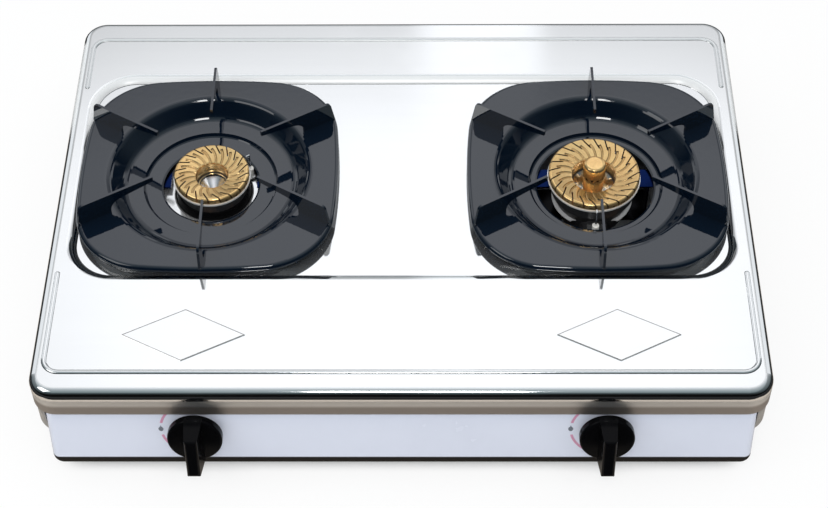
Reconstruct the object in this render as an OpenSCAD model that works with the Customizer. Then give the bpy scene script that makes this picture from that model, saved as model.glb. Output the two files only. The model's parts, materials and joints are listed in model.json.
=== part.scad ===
// Two-burner table gas stove: pressed steel top, lift-off pan supports, brass ring burners.
// Millimetres, +Z up, front towards -Y, standing on z = 0 with the whole stove centred on x = y = 0.

/* [Top plate] */
// Width of the top plate
plate_w = 600; // [590:1:650]
// Depth of the top plate, front to back
plate_d = 426; // [418:1:450]
// Height of the deck above the table
deck_z = 99; // [97:1:108]
// Height of the skirt under the deck
skirt_h = 28; // [24:1:30]
// Corner radius of the plate, seen from above
plate_corner = 21; // [16:0.5:26]
// Rounding between the deck and the skirt
plate_edge = 7.5; // [6:0.5:9]
// Thickness of the pressed sheets
sheet = 1; // [0.8:0.1:1.2]

/* [Well and beads] */
// Gap between the feet of the pan supports and the side walls of the well
well_side_gap = 1; // [0.5:0.5:2.5]
// Gap between the feet of the pan supports and the front wall of the well
well_front_gap = 2; // [1:0.5:4]
// Gap between the feet of the pan supports and the rear wall of the well
well_rear_gap = 10; // [8:0.5:12]
// How far the well is pressed below the deck
well_depth = 5; // [4.5:0.5:5.5]
// Corner radius of the well
well_corner = 34; // [25:1:45]
// Radius of the edge that rolls from the deck down into the well
well_roll = 12; // [11:0.5:13]
// Radius of the round opening under each pan support
deck_hole_r = 84; // [83:0.5:87]
// Height of the turned-up lip around that opening
deck_lip_h = 2.5; // [1.5:0.5:3]
// Width of the pressed beads
bead_w = 4.5; // [3:0.5:6]
// Height of the pressed beads
bead_h = 1.2; // [0.6:0.1:1.5]
// Bead distance from the front edge
bead_front = 22.3; // [18:0.1:28]
// Bead distance from the rear edge
bead_rear = 24.8; // [20:0.1:30]
// Bead distance from the side edges
bead_side = 11; // [10.5:0.1:11.5]
// Corner radius of the beads
bead_corner = 13; // [8:1:20]
// Length of the front bead along each side
bead_front_run = 88; // [60:1:95]
// Length of the rear bead along each side
bead_rear_run = 48; // [30:1:60]
// Width of the pressed diamonds
diamond_w = 101; // [80:1:110]
// Depth of the pressed diamonds
diamond_d = 52; // [40:1:56]
// Height of the pressed diamonds
diamond_h = 0.6; // [0.4:0.1:1]
// Diamond centres from the side edges
diamond_side = 122; // [100:1:140]
// Diamond centres from the front edge
diamond_front = 59; // [54:1:66]

/* [Front panel] */
// Distance of the panel ends from the side edges of the plate
panel_inset = 11; // [10:0.5:11.5]
// Lean of the panel: its foot stands forward
panel_tilt = 11; // [8:0.5:13]
// Depth of the folded edges of the panel
panel_return = 14; // [13:1:18]
// Corner radius of the panel, seen from the front
panel_corner = 9; // [8:0.5:12]
// Rounding along the edges of the panel
panel_edge = 6.5; // [4:0.5:7]
// How far the panel reaches up inside the skirt
panel_tuck = 7.4; // [4:0.2:9]
// Knob axis below the deck
knob_drop = 46; // [45.5:0.5:47]

/* [Base tray and feet] */
// Height of the rubber feet
foot_h = 11; // [10:1:14]
// Radius of the feet at the tray
foot_r = 12; // [10:0.5:15]
// Feet from the side edges of the plate
foot_side = 50; // [40:1:70]
// Feet from the front and rear edges of the plate
foot_end = 34; // [30:1:50]
// How far the tray's wide shoulder reaches below the deck
shoulder_drop = 58; // [50:1:60]
// Number of vent slots in each group of the tray floor
vent_n = 5; // [3:1:7]
// Length of a vent slot
vent_l = 44; // [30:1:60]
// Width of a vent slot
vent_w = 6; // [4:0.5:7]

/* [Pan supports] */
// Burner centres from the side edges of the plate
burner_side = 133; // [132.5:0.5:140]
// Burner centres from the rear edge of the plate
burner_rear = 194.5; // [187:0.5:198]
// How far the pan supports stand outside the burner centres
pan_out = 2; // [0:0.5:2.5]
// How far the pan supports stand behind the burner centres
pan_back = 1; // [0:0.5:3]
// Width of a pan support
pan_w = 226; // [218:2:226]
// Depth of a pan support
pan_d = 222; // [216:2:224]
// Corner radius of a pan support
pan_corner = 64; // [50:1:75]
// How far each side bows out
pan_bow = 2; // [2:1:4]
// Height of the pan rim above the deck
pan_rise = 7; // [5:0.5:9]
// Thickness of the enamelled sheet
pan_sheet = 1.2; // [1:0.1:1.5]
// Rounding of the turned-down rim
pan_lip_r = 4; // [3:0.5:5]
// How far the foot of the rim stands inside its edge
pan_in = 5.5; // [4.5:0.5:6]
// Radius of the bowl at the rim
bowl_r = 87; // [84:0.5:88]
// Radius of the bowl floor
bowl_floor_r = 75; // [73:0.5:77]
// Depth of the bowl below the rim
bowl_depth = 16; // [15:0.5:16.5]
// Radius of the step in the bowl floor
bowl_step_r = 58; // [56:0.5:62]
// Depth of that step
bowl_step = 3.2; // [2:0.2:3.4]
// Radius of the left burner hole
left_hole_r = 42; // [40:0.5:44]
// Radius of the right burner hole
right_hole_r = 51.5; // [50:0.5:53]

/* [Blades] */
// Thickness of the blades
blade_t = 2.2; // [1.6:0.1:3]
// Height of the blade tops above the deck
blade_top = 28.5; // [25:0.5:32]
// Radius of the blade tips
blade_tip_r = 52; // [48:0.5:56]
// Height of a blade at its tip
blade_tip_h = 5; // [4:0.5:7]
// Distance of the outer blade ends from the edge of the rim
blade_inset = 4.5; // [3.5:0.1:5.5]
// Radius where the blade feet begin
blade_heel_r = 93; // [92.5:0.5:96]

/* [Burner rings] */
// Outer radius of the left brass ring
left_ring_r = 33; // [32:0.5:34]
// Outer radius of the right brass ring
right_ring_r = 40; // [38:0.5:41]
// Hole radius of the left brass ring
left_bore_r = 14; // [13:0.5:15]
// Hole radius of the right brass ring
right_bore_r = 19; // [18:0.5:20]
// Height of the ring edge above the deck
ring_top = 6; // [5:0.5:8]
// Height of a ring at its outer wall
ring_h = 6; // [5.5:0.5:7]
// Slope of the ring top towards its hole
ring_slope = 15; // [10:1:20]
// Number of slits in the left ring
left_slits = 20; // [16:1:20]
// Number of slits in the right ring
right_slits = 24; // [20:1:24]
// Width of a slit
slit_w = 1.2; // [0.8:0.1:1.4]
// Length of a slit as a share of the ring's width
slit_share = 0.58; // [0.45:0.01:0.62]
// Lean of the slits from the radius
slit_lean = 28; // [15:1:40]
// Depth of the shallow flutes between the slits
flute_depth = 1; // [0.4:0.1:1]
// Radius of the centre cap
cap_r = 9.8; // [9:0.2:11]
// Height of the centre cap above the deck
cap_top = 17; // [14:0.5:20]

/* [Burner bodies and gas way] */
// Depth of the burner head below the deck
head_drop = 43; // [42:0.5:45]
// Wall of the cast burner body
cast_wall = 3; // [2.5:0.1:3.5]
// Outer radius of the mixing tube at its throat
throat_r = 10.5; // [10:0.5:12]
// Outer radius of the mixing tube at its mouth
mouth_r = 16.5; // [15:0.5:17]
// Radius of the valve housings
valve_r = 14; // [13:0.5:15]
// Length of the valve housings behind the panel
valve_len = 50; // [48:1:54]
// Large radius of the taper plug
plug_r = 9; // [8:0.5:9.5]
// Small radius of the taper plug
plug_end_r = 7; // [6:0.5:7.5]
// Radius of the spindle
spindle_r = 4; // [3:0.25:4]
// Travel of the knob when it is pushed in
push = 3.5; // [3:0.5:3.5]
// Radius of the gas rail
rail_r = 7; // [6:0.5:8]
// Gas inlet from the right edge of the plate
inlet_side = 68; // [60:1:70]
// Radius of the hose nipple
nipple_r = 4.75; // [4:0.25:6]
// Length of the hose nipple behind the top plate
nipple_reach = 28; // [24:1:34]

/* [Knobs] */
// Radius of the knob disc
knob_r = 22.5; // [20:0.5:23]
// Height of the knob disc
knob_h = 7; // [5:0.5:9]
// How far the knob reaches in front of the panel
knob_reach = 36; // [30:0.5:38]
// Half length of the grip bar at its end
grip_half = 20; // [16:0.5:20]
// Width of the grip bar at its end
grip_w = 11; // [9:0.5:13]
// Rounding of the grip bar
grip_round = 3; // [2:0.5:4]

/* [Fits] */
// Radial clearance of turning and sliding fits
running = 0.05; // [0.02:0.01:0.08]
// Gap between pieces that slip over each other
slip = 0.3; // [0.2:0.05:0.4]
// Radial clearance around screws
screw_play = 0.1; // [0.05:0.05:0.2]

/* [Hidden] */
$fn = 64;
eps = 0.01;

// places tied to the plate
burner_x = plate_w/2 - burner_side;
burner_y = plate_d/2 - burner_rear;
foot_x = plate_w/2 - foot_side;
foot_y = plate_d/2 - foot_end;
inlet_x = plate_w/2 - inlet_side;
diamond_x = plate_w/2 - diamond_side;

// well round both pan supports
pan_x = burner_x + pan_out;
pan_y = burner_y + pan_back;
well_w = 2*(pan_x + pan_w/2 - pan_in + well_side_gap);
well_d = pan_d - 2*pan_in + well_front_gap + well_rear_gap;
well_reach = sqrt(well_roll*well_roll - pow(well_roll - 0.1 - well_depth, 2));
well_y = pan_y + (well_rear_gap - well_front_gap)/2;

// deck levels
well_floor = deck_z - well_depth;
tray_floor = foot_h + sheet;

// panel: from inside the skirt down to the underside of the tray
panel_w = plate_w - 2*panel_inset;
panel_up = (knob_drop - skirt_h + panel_tuck)/cos(panel_tilt);
panel_down = (deck_z - knob_drop - foot_h)/cos(panel_tilt);
panel_h = panel_up + panel_down;
panel_gap = 0.8;
panel_y = -(plate_d/2 - sheet - panel_gap + (knob_drop - skirt_h)*tan(panel_tilt));

// tray: its deep part slips inside the panel's folded edges, its shoulder inside the skirt
tray_w = panel_w - 2*sheet - 2*slip;
tray_edge = panel_corner;
tray_corner = panel_corner + 1;
shoulder_w = plate_w - 2*sheet - 2*slip;
shoulder_r = plate_corner - sheet - slip;
shoulder_d = plate_d - 2*sheet - 2*slip;
shoulder_e = 5;
tray_back = plate_d/2 - sheet - slip;
tray_front = panel_y - 20;
tray_d = tray_back - tray_front;
tray_y = (tray_back + tray_front)/2;
tray_h = deck_z - plate_edge - 3 - foot_h;
tray_cut = panel_return - 6;
tray_top = deck_z - plate_edge - 3;
shoulder_h = shoulder_drop - plate_edge - 3;

// knob, spindle and valve, measured along the knob axis from the face of the panel
knob_back = push + 2.8 + panel_gap;
flange_r = 18;
flange_t = 3;
flange_screw_x = 13;
screw_head_h = 1;
chamber_front = -sheet - flange_t;
plug_front = -18;
plug_back = -45;
chamber_r = plug_r + 0.5;
spindle_back = -32;
collar_back = -8;
collar_t = 1.5;
collar_r = 7;
spindle_front = knob_back + 14;

// spring, as long as it is with the knob pushed in
spring_wire = 0.5;
spring_r = 5.8;
spring_turns = 3;
spring_len = collar_back - push - plug_front - 0.6;

// gas rail under the valves
rail_back = -42;
rail_down = valve_r + rail_r;
rail_y = panel_y - rail_down*sin(panel_tilt) - rail_back*cos(panel_tilt);
rail_z = deck_z - knob_drop - rail_down*cos(panel_tilt) + rail_back*sin(panel_tilt);
rail_end = inlet_x + rail_r;
pipe_r = 6;

// mixing tube: from the valve outlet up to the burner head
outlet_y = panel_y - rail_back*cos(panel_tilt);
outlet_z = deck_z - knob_drop + rail_back*sin(panel_tilt);
tube_end_y = burner_y - 10;
tube_end_z = deck_z - head_drop + 11;
tube_rise = atan2(tube_end_z - outlet_z, tube_end_y - outlet_y);
tube_len = norm([tube_end_z - outlet_z, tube_end_y - outlet_y]);
boss_r = 8.5;
boss_len = 22;
injector_r = 4;
hex_r = 7;
hex_len = 7;
tip_r = 3.6;
mouth_at = boss_len + hex_len + 8;
mouth_wall = 2.5;
pivot_r = 6.5;
pivot_len = 3;
shutter_t = 1.4;
shutter_r = mouth_r - 1;
window_r = 3.2;
window_at = 10;

// burner head, rings and what sits round them, measured from the deck
seat_t = 1.5;
ring_bottom = ring_top - ring_h;
head_top = ring_bottom - seat_t;
head_waist = head_top - 25;
lug_top = head_top - 20;
dish_z = head_top - 20;
skirt_z = head_top - 8.5;
cone_top = skirt_z - slip;
post_top = cone_top - 5;
dish_h = 8;
lug_t = 4;
lug_half = 6;
ceramic_r = 3;
rod_r = 1;
electrode_gap = 5;
bracket_t = 1.5;
bracket_half = 50;
bracket_d = 26;
wing_z = head_top - 14.5;
wing_in = 38;
wing_half = 84;
wing_front = 1.5;
wing_back = 21.5;
ring_edge = 2.5;
flute_r = 1.3;
flute_curl = 18;
left_spark = 35;
right_spark = -90;

// pan supports
rim_land = 12;
bowl_bend = 4;

// fasteners
screw_r = 1.8;
head_r = 3.2;

// the stove is centred between the ends of the knobs and the hose nipple
knob_front = panel_y - (knob_reach - grip_round)*cos(panel_tilt)
    - (grip_half - grip_round)*sin(panel_tilt) - grip_round;
stove_y = (knob_front + plate_d/2 + nipple_reach)/2;

// Places the stove so that its outline is centred on the origin
module placed() translate([0, -stove_y, 0]) children();

// Frame of the knob axis: z points out of the panel, y up along it
module on_panel(x) translate([x, panel_y, deck_z - knob_drop]) rotate([90 - panel_tilt, 0, 0]) children();

// Frame of the mixing tube: z runs from the valve outlet to the burner head
module on_tube(x) translate([x, outlet_y, outlet_z]) rotate([tube_rise - 90, 0, 0]) children();

// Frame of a burner: its axis at the height of the deck
module on_burner(x) translate([x, burner_y, deck_z]) children();

// Frame of a pan support: its middle at the height of the deck
module on_pan(s) translate([s*pan_x, pan_y, deck_z]) children();

// Quarter of a disc
module quarter(r) intersection() {
    circle(r);
    square(r);
}

// Rectangle beside the axis whose outer top corner is rounded
module round_top(w, h, e) {
    square([w, h - e]);
    translate([0, h - e]) square([w - e, e]);
    translate([w - e, h - e]) quarter(e);
}

// Slab on z = 0 with corner radius r in plan and rounding e along its top edge
module rounded_slab(w, d, h, r, e) {
    translate([r - w/2, r - d/2, 0]) cube([w - 2*r, d - 2*r, h]);
    for (m = [0, 1]) {
        mirror([m, 0, 0]) translate([w/2 - r, d/2 - r, 0]) rotate([90, 0, 0])
            linear_extrude(d - 2*r) round_top(r, h, e);
        mirror([0, m, 0]) translate([r - w/2, d/2 - r, 0]) rotate([90, 0, 90])
            linear_extrude(w - 2*r) round_top(r, h, e);
    }
    for (mx = [0, 1], my = [0, 1]) mirror([mx, 0, 0]) mirror([0, my, 0])
        translate([w/2 - r, d/2 - r, 0]) rotate_extrude(angle = 90) round_top(r, h, e);
}

// Open tray of sheet metal, face up, standing on z = 0
module sheet_tray(w, d, h, r, e) difference() {
    rounded_slab(w, d, h, r, e);
    translate([0, 0, -sheet]) rounded_slab(w - 2*sheet, d - 2*sheet, h, r - sheet, e - sheet);
}

// Slot with round ends along x, cut upwards from z = 0
module slot(l, w, h) {
    for (m = [-1, 1]) translate([m*(l - w)/2, 0, 0]) cylinder(d = w, h = h);
    translate([-(l - w)/2, -w/2, 0]) cube([l - w, w, h]);
}

// Pan-head screw along -z with the underside of its head on z = 0
module screw(r, l, hr, hh) {
    translate([0, 0, -l]) cylinder(r = r, h = l);
    cylinder(r = hr, h = hh);
}

// TOP PLATE

module bead_section() {
    bead_r = (bead_w*bead_w/4 + bead_h*bead_h)/(2*bead_h);
    intersection() {
        translate([0, bead_h - bead_r]) circle(bead_r);
        translate([-bead_w/2, -sheet/2]) square([bead_w, bead_h + sheet]);
    }
}

// U-shaped bead along the front edge and part of both sides
module bead(edge_gap, run) {
    half = plate_w/2 - bead_side;
    front = edge_gap - plate_d/2;
    translate([bead_corner - half, front, 0]) rotate([90, 0, 90])
        linear_extrude(2*(half - bead_corner)) bead_section();
    for (m = [0, 1]) mirror([m, 0, 0]) {
        translate([half - bead_corner, front + bead_corner, 0]) rotate([0, 0, -90])
            rotate_extrude(angle = 90) translate([bead_corner, 0]) bead_section();
        translate([half, front + bead_corner + run, 0]) rotate([90, 0, 0]) linear_extrude(run) bead_section();
        translate([half, front + bead_corner + run, 0]) rotate_extrude() intersection() {
            bead_section();
            translate([0, -sheet]) square([bead_w, bead_h + 2*sheet]);
        }
    }
}

// Half section of the well, its edge rolled outwards, thicker by a given skin
module well_section(skin, over) difference() {
    translate([0, -well_depth - skin]) square([well_corner + well_reach - 0.5, well_depth + skin + over]);
    translate([well_corner + well_reach, 0.1 - well_roll]) circle(well_roll - skin);
}

module well(skin, over) translate([0, well_y, deck_z]) {
    across = well_w - 2*well_corner;
    along = well_d - 2*well_corner;
    translate([-across/2, -along/2, -well_depth - skin]) cube([across, along, well_depth + skin + over]);
    for (m = [0, 1]) {
        mirror([m, 0, 0]) translate([across/2, along/2, 0]) rotate([90, 0, 0])
            linear_extrude(along) well_section(skin, over);
        mirror([0, m, 0]) translate([-across/2, along/2, 0]) rotate([90, 0, 90])
            linear_extrude(across) well_section(skin, over);
    }
    for (mx = [0, 1], my = [0, 1]) mirror([mx, 0, 0]) mirror([0, my, 0])
        translate([across/2, along/2, 0]) rotate_extrude(angle = 90) well_section(skin, over);
}

module diamond() linear_extrude(diamond_h + sheet/2)
    polygon([[-diamond_w/2, 0], [0, -diamond_d/2], [diamond_w/2, 0], [0, diamond_d/2]]);

module plate_screw_places() for (m = [-1, 0, 1])
    translate([m*(plate_w/2 - 80), plate_d/2, deck_z - skirt_h + 8]) rotate([-90, 0, 0]) children();

module top_plate() color("gainsboro") difference() {
    union() {
        translate([0, 0, deck_z - skirt_h]) sheet_tray(plate_w, plate_d, skirt_h, plate_corner, plate_edge);
        well(sheet, -sheet/2);
        translate([0, 0, deck_z]) {
            bead(bead_front, bead_front_run);
            mirror([0, 1, 0]) bead(bead_rear, bead_rear_run);
            for (m = [-1, 1]) translate([m*diamond_x, diamond_front - plate_d/2, -sheet/2]) diamond();
        }
    }
    difference() {
        well(0, 2*bead_h);
        for (m = [-1, 1]) translate([m*pan_x, pan_y, well_floor - eps])
            cylinder(r = deck_hole_r + sheet, h = deck_lip_h + eps);
    }
    for (m = [-1, 1]) translate([m*pan_x, pan_y, well_floor - 2*sheet])
        cylinder(r = deck_hole_r, h = well_depth + 3*sheet);
    plate_screw_places() translate([0, 0, -2*sheet]) cylinder(r = screw_r + screw_play, h = 4*sheet);
}

module plate_screws() color("silver") plate_screw_places() screw(screw_r, 7, head_r, 1.8);

// BASE TRAY, FEET AND FRONT PANEL

module foot_places() for (x = [-foot_x, foot_x], y = [-foot_y, foot_y]) translate([x, y, 0]) children();

module panel_screw_places() for (m = [0, 1], k = [0.33, 0.61]) mirror([m, 0, 0]) on_panel(0)
    translate([panel_w/2 - 2*sheet - slip, -k*panel_down, 3 - panel_return]) rotate([0, -90, 0]) children();

// Deep part and shoulder of the tray, thinner by a given skin
module tray_slab(w, d, h, r, e, skin) translate([0, 0, tray_top + skin]) mirror([0, 0, 1])
    rounded_slab(w - 2*skin, d - 2*skin, h, r - skin, e - skin);

module tray_deep(skin) translate([0, tray_y, 0]) tray_slab(tray_w, tray_d, tray_h, tray_corner, tray_edge, skin);

module tray_shoulder(skin) tray_slab(shoulder_w, shoulder_d, shoulder_h, shoulder_r, shoulder_e, skin);

// All that lies in front of a plane behind the panel, between the panel's ends
module before_panel(depth) on_panel(0) translate([-panel_w/2 - slip, -plate_w/4, -depth])
    cube([panel_w + 2*slip, plate_w/2, plate_w/2]);

module base_tray() color("lightgray") difference() {
    union() {
        difference() {
            tray_deep(0);
            before_panel(tray_cut);
        }
        difference() {
            tray_shoulder(0);
            before_panel(panel_return + slip);
        }
    }
    tray_deep(sheet);
    tray_shoulder(sheet);
    // gas inlet
    translate([inlet_x, tray_back + sheet, rail_z]) rotate([90, 0, 0])
        cylinder(r = pipe_r + slip, h = 4*sheet);
    // vents under the burners and along the back
    for (m = [-1, 1], i = [0:vent_n - 1])
        translate([m*burner_x, burner_y + (i - (vent_n - 1)/2)*2.4*vent_w - 70, foot_h - sheet])
            slot(vent_l, vent_w, 3*sheet);
    for (m = [-1, 1], i = [0:vent_n - 1])
        translate([m*100 + (i - (vent_n - 1)/2)*4*vent_w, tray_back + sheet, deck_z - skirt_h - 24])
            rotate([90, 90, 0]) slot(vent_l/2, vent_w, 4*sheet);
    foot_places() translate([0, 0, foot_h - sheet]) cylinder(r = screw_r + screw_play, h = 4*sheet);
    panel_screw_places() translate([0, 0, -2*sheet]) cylinder(r = screw_r + screw_play, h = 3*sheet);
    plate_screw_places() translate([0, 0, -4*sheet]) cylinder(r = screw_r + screw_play, h = 5*sheet);
}

module feet() color("dimgray") foot_places() difference() {
    rotate_extrude() difference() {
        polygon([[0, 0], [foot_r - 3, 0], [foot_r - 1.5, 1.5], [foot_r, foot_h], [0, foot_h]]);
        square([head_r + 1.5, foot_h/2]);
    }
    cylinder(r = screw_r + screw_play, h = 3*foot_h, center = true);
}

module foot_screws() color("silver") foot_places() translate([0, 0, foot_h/2]) mirror([0, 0, 1])
    screw(screw_r, foot_h/2 + 3, head_r, 1.8);

module valve_screw_places() for (s = [-1, 1], m = [-1, 1])
    on_panel(s*burner_x) translate([m*flange_screw_x, 0, 0]) children();

module front_panel() color("ghostwhite") difference() {
    on_panel(0) translate([0, (panel_up - panel_down)/2, -panel_return])
        sheet_tray(panel_w, panel_h, panel_return, panel_corner, panel_edge);
    for (s = [-1, 1]) on_panel(s*burner_x) translate([0, 0, -2*sheet]) cylinder(r = spindle_r + 2, h = 4*sheet);
    valve_screw_places() translate([0, 0, -2*sheet]) cylinder(r = screw_r + screw_play, h = 4*sheet);
    panel_screw_places() translate([0, 0, -4*sheet]) cylinder(r = screw_r + screw_play, h = 4*sheet);
}

module panel_screws() color("silver") panel_screw_places() screw(screw_r, 2*sheet + slip - 0.1, head_r, 1.8);

module valve_screws() color("silver") valve_screw_places() screw(screw_r, 6, head_r, screw_head_h);

// GAS WAY

module gas_rail() color("silver") difference() {
    translate([-burner_x - 24, rail_y, rail_z]) rotate([0, 90, 0]) cylinder(r = rail_r, h = rail_end + burner_x + 24);
    translate([-burner_x - 22, rail_y, rail_z]) rotate([0, 90, 0])
        cylinder(r = rail_r - 1.5, h = rail_end + burner_x + 20);
    // branch holes to the valves and the inlet
    for (s = [-1, 1]) on_panel(s*burner_x) translate([0, -rail_down, rail_back]) rotate([-90, 0, 0])
        cylinder(r = 2, h = rail_r + 1);
    translate([inlet_x, rail_y, rail_z]) rotate([-90, 0, 0]) cylinder(r = pipe_r - 1.2, h = rail_r + 1);
}

module inlet_pipe() color("silver") difference() {
    translate([inlet_x, rail_y, rail_z]) rotate([-90, 0, 0]) cylinder(r = pipe_r, h = tray_back + 3 - rail_y);
    translate([inlet_x, rail_y, rail_z]) rotate([-90, 0, 0]) cylinder(r = pipe_r - 1.2, h = plate_d);
    translate([0, rail_y, rail_z]) rotate([0, 90, 0]) cylinder(r = rail_r + running, h = plate_w);
}

module inlet_nipple() color("goldenrod") translate([inlet_x, tray_back + 3, rail_z]) rotate([-90, 0, 0]) difference() {
    union() {
        cylinder(r = pipe_r + 1.5, h = 4, $fn = 6);
        cylinder(r = nipple_r, h = plate_d/2 + nipple_reach - tray_back - 4.5);
        translate([0, 0, plate_d/2 + nipple_reach - tray_back - 4.5])
            cylinder(r1 = nipple_r, r2 = nipple_r - 1, h = 1.5);
    }
    translate([0, 0, -1]) cylinder(r = 2.5, h = plate_d);
}

module inlet_nut() color("goldenrod") translate([inlet_x, tray_back, rail_z]) rotate([-90, 0, 0]) difference() {
    cylinder(r = pipe_r + 5, h = 2.8, $fn = 6);
    translate([0, 0, -1]) cylinder(r = pipe_r + running, h = 8);
}

module valve_body(s) color("silver") difference() {
    union() {
        on_panel(s*burner_x) {
            translate([0, 0, -valve_len]) cylinder(r = valve_r, h = valve_len - sheet);
            translate([0, 0, chamber_front]) cylinder(r = flange_r, h = flange_t);
            // saddle over the rail and pad for the igniter
            translate([-rail_r - 3, -rail_down, rail_back - 8]) cube([2*rail_r + 6, rail_down, 16]);
            translate([0, -7, plug_back]) cube([valve_r + 2, 14, 24]);
        }
        on_tube(s*burner_x) cylinder(r = boss_r, h = boss_len);
    }
    on_panel(s*burner_x) {
        translate([0, 0, chamber_front - 1]) cylinder(r = spindle_r + slip, h = 6);
        translate([0, 0, plug_front - eps]) cylinder(r = chamber_r, h = chamber_front - plug_front);
        translate([0, 0, plug_back]) cylinder(r1 = plug_end_r + running, r2 = plug_r + running, h = plug_front - plug_back);
        translate([-burner_x, -rail_down, rail_back]) rotate([0, 90, 0]) cylinder(r = rail_r + running, h = 2*burner_x);
        translate([0, -rail_down, rail_back]) rotate([-90, 0, 0]) cylinder(r = 2, h = rail_down);
    }
    valve_screw_places() translate([0, 0, -9]) cylinder(r = screw_r + screw_play, h = 9);
    on_tube(s*burner_x) {
        translate([0, 0, boss_len - 10]) cylinder(r = injector_r + running, h = 20);
        cylinder(r = 2, h = boss_len);
    }
}

module valve_plug(s) color("goldenrod") on_panel(s*burner_x) difference() {
    translate([0, 0, plug_back]) cylinder(r1 = plug_end_r, r2 = plug_r, h = plug_front - plug_back);
    translate([0, 0, spindle_back - push - 1]) cylinder(r = spindle_r + running, h = 40);
    translate([0, 0, rail_back]) rotate([90, 0, 0]) cylinder(r = 1.8, h = 30, center = true);
}

module spindle(s) color("silver") on_panel(s*burner_x) difference() {
    union() {
        translate([0, 0, spindle_back]) cylinder(r = spindle_r, h = spindle_front - spindle_back);
        translate([0, 0, collar_back]) cylinder(r = collar_r, h = collar_t);
    }
    // flat for the knob
    translate([spindle_r*0.6, -spindle_r, knob_back]) cube([spindle_r, 2*spindle_r, spindle_front]);
}

// Round wire swept along a helix from z = 0: six-sided rings joined by quads, both ends closed
module coil(r, wire, turns, len) {
    per_turn = 10;
    rings = turns*per_turn;
    pts = [for (i = [0:rings], k = [0:5]) let (a = 360*i/per_turn, b = 60*k, q = r + wire*cos(b))
        [q*cos(a), q*sin(a), wire + (len - 2*wire)*i/rings + wire*sin(b)]];
    sides = [for (i = [0:rings - 1], k = [0:5]) let (n = (k + 1) % 6)
        each [[6*i + k, 6*i + 6 + k, 6*i + 6 + n], [6*i + k, 6*i + 6 + n, 6*i + n]]];
    ends = [[for (k = [0:5]) k], [for (k = [5:-1:0]) 6*rings + k]];
    polyhedron(pts, concat(sides, ends));
}

module spring(s) color("silver") on_panel(s*burner_x) translate([0, 0, plug_front + eps])
    coil(spring_r, spring_wire, spring_turns, spring_len);

module injector(s) color("goldenrod") on_tube(s*burner_x) difference() {
    union() {
        translate([0, 0, boss_len - 9]) cylinder(r = injector_r, h = 9);
        translate([0, 0, boss_len]) cylinder(r = hex_r, h = hex_len, $fn = 6);
        translate([0, 0, boss_len + hex_len]) cylinder(r = tip_r, h = 7);
        translate([0, 0, boss_len + hex_len + 7]) cylinder(r1 = tip_r, r2 = tip_r - 1.2, h = 2);
    }
    translate([0, 0, boss_len - 10]) cylinder(r = 1.6, h = hex_len + 12);
    cylinder(r = 0.6, h = boss_len + hex_len + 12);
}

module piezo(s) color("dimgray") on_panel(s*burner_x) translate([valve_r + 2, -7, plug_back]) {
    cube([14, 14, 24]);
    translate([7, 7, -5]) cylinder(r = 2.5, h = 5);
}

// KNOBS

// Outline of the grip bar from one side: wider by the flare at its foot, rounded at its top
module grip_outline(half, flare) {
    shoulder = knob_reach - knob_back - grip_round;
    polygon([[-half - flare, knob_h/2], [half + flare, knob_h/2], [half, shoulder], [-half, shoulder]]);
    translate([grip_round - half, shoulder]) square([2*(half - grip_round), grip_round]);
    for (m = [0, 1]) mirror([m, 0]) translate([half - grip_round, shoulder]) quarter(grip_round);
}

module knob(s) color("black") on_panel(s*burner_x) translate([0, 0, knob_back]) difference() {
    union() {
        rotate_extrude() round_top(knob_r, knob_h, 2);
        intersection() {
            rotate([90, 0, 90]) linear_extrude(4*grip_w, center = true) grip_outline(grip_half, 2);
            rotate([90, 0, 0]) linear_extrude(3*knob_r, center = true) grip_outline(grip_w/2, 2);
        }
    }
    // socket for the spindle, with its flat
    difference() {
        translate([0, 0, -1]) cylinder(r = spindle_r + running, h = spindle_front - knob_back + 1.3);
        translate([spindle_r*0.6 + running, -2*spindle_r, -2]) cube([2*spindle_r, 4*spindle_r, spindle_front]);
    }
}

// BURNERS

function ring_r(s) = s < 0 ? left_ring_r : right_ring_r;
function bore_r(s) = s < 0 ? left_bore_r : right_bore_r;
function ring_inner_z(s) = ring_top - tan(ring_slope)*(ring_r(s) - ring_edge - bore_r(s) - 1.5);
function slits(s) = s < 0 ? left_slits : right_slits;
function spark_at(s) = s < 0 ? left_spark : right_spark;
function spark_r(s) = ring_r(s) + electrode_gap;

// Outline of the cast head, from its inner wall to its outer wall
module head_section(s) {
    inner = bore_r(s) - 1;
    outer = ring_r(s) - 3;
    polygon([[inner, -head_drop], [outer - 8, -head_drop], [outer - 5, head_waist], [outer, head_waist + 12],
        [outer, head_top], [inner, head_top]]);
}

// Gas chamber inside the head, open at the top
module chamber_section(s) {
    inner = bore_r(s) + 1.5;
    outer = ring_r(s) - 3 - cast_wall;
    polygon([[inner, cast_wall - head_drop], [outer - 8, cast_wall - head_drop], [outer - 5, head_waist],
        [outer, head_waist + 12], [outer, head_top + 1], [inner, head_top + 1]]);
}

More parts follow.
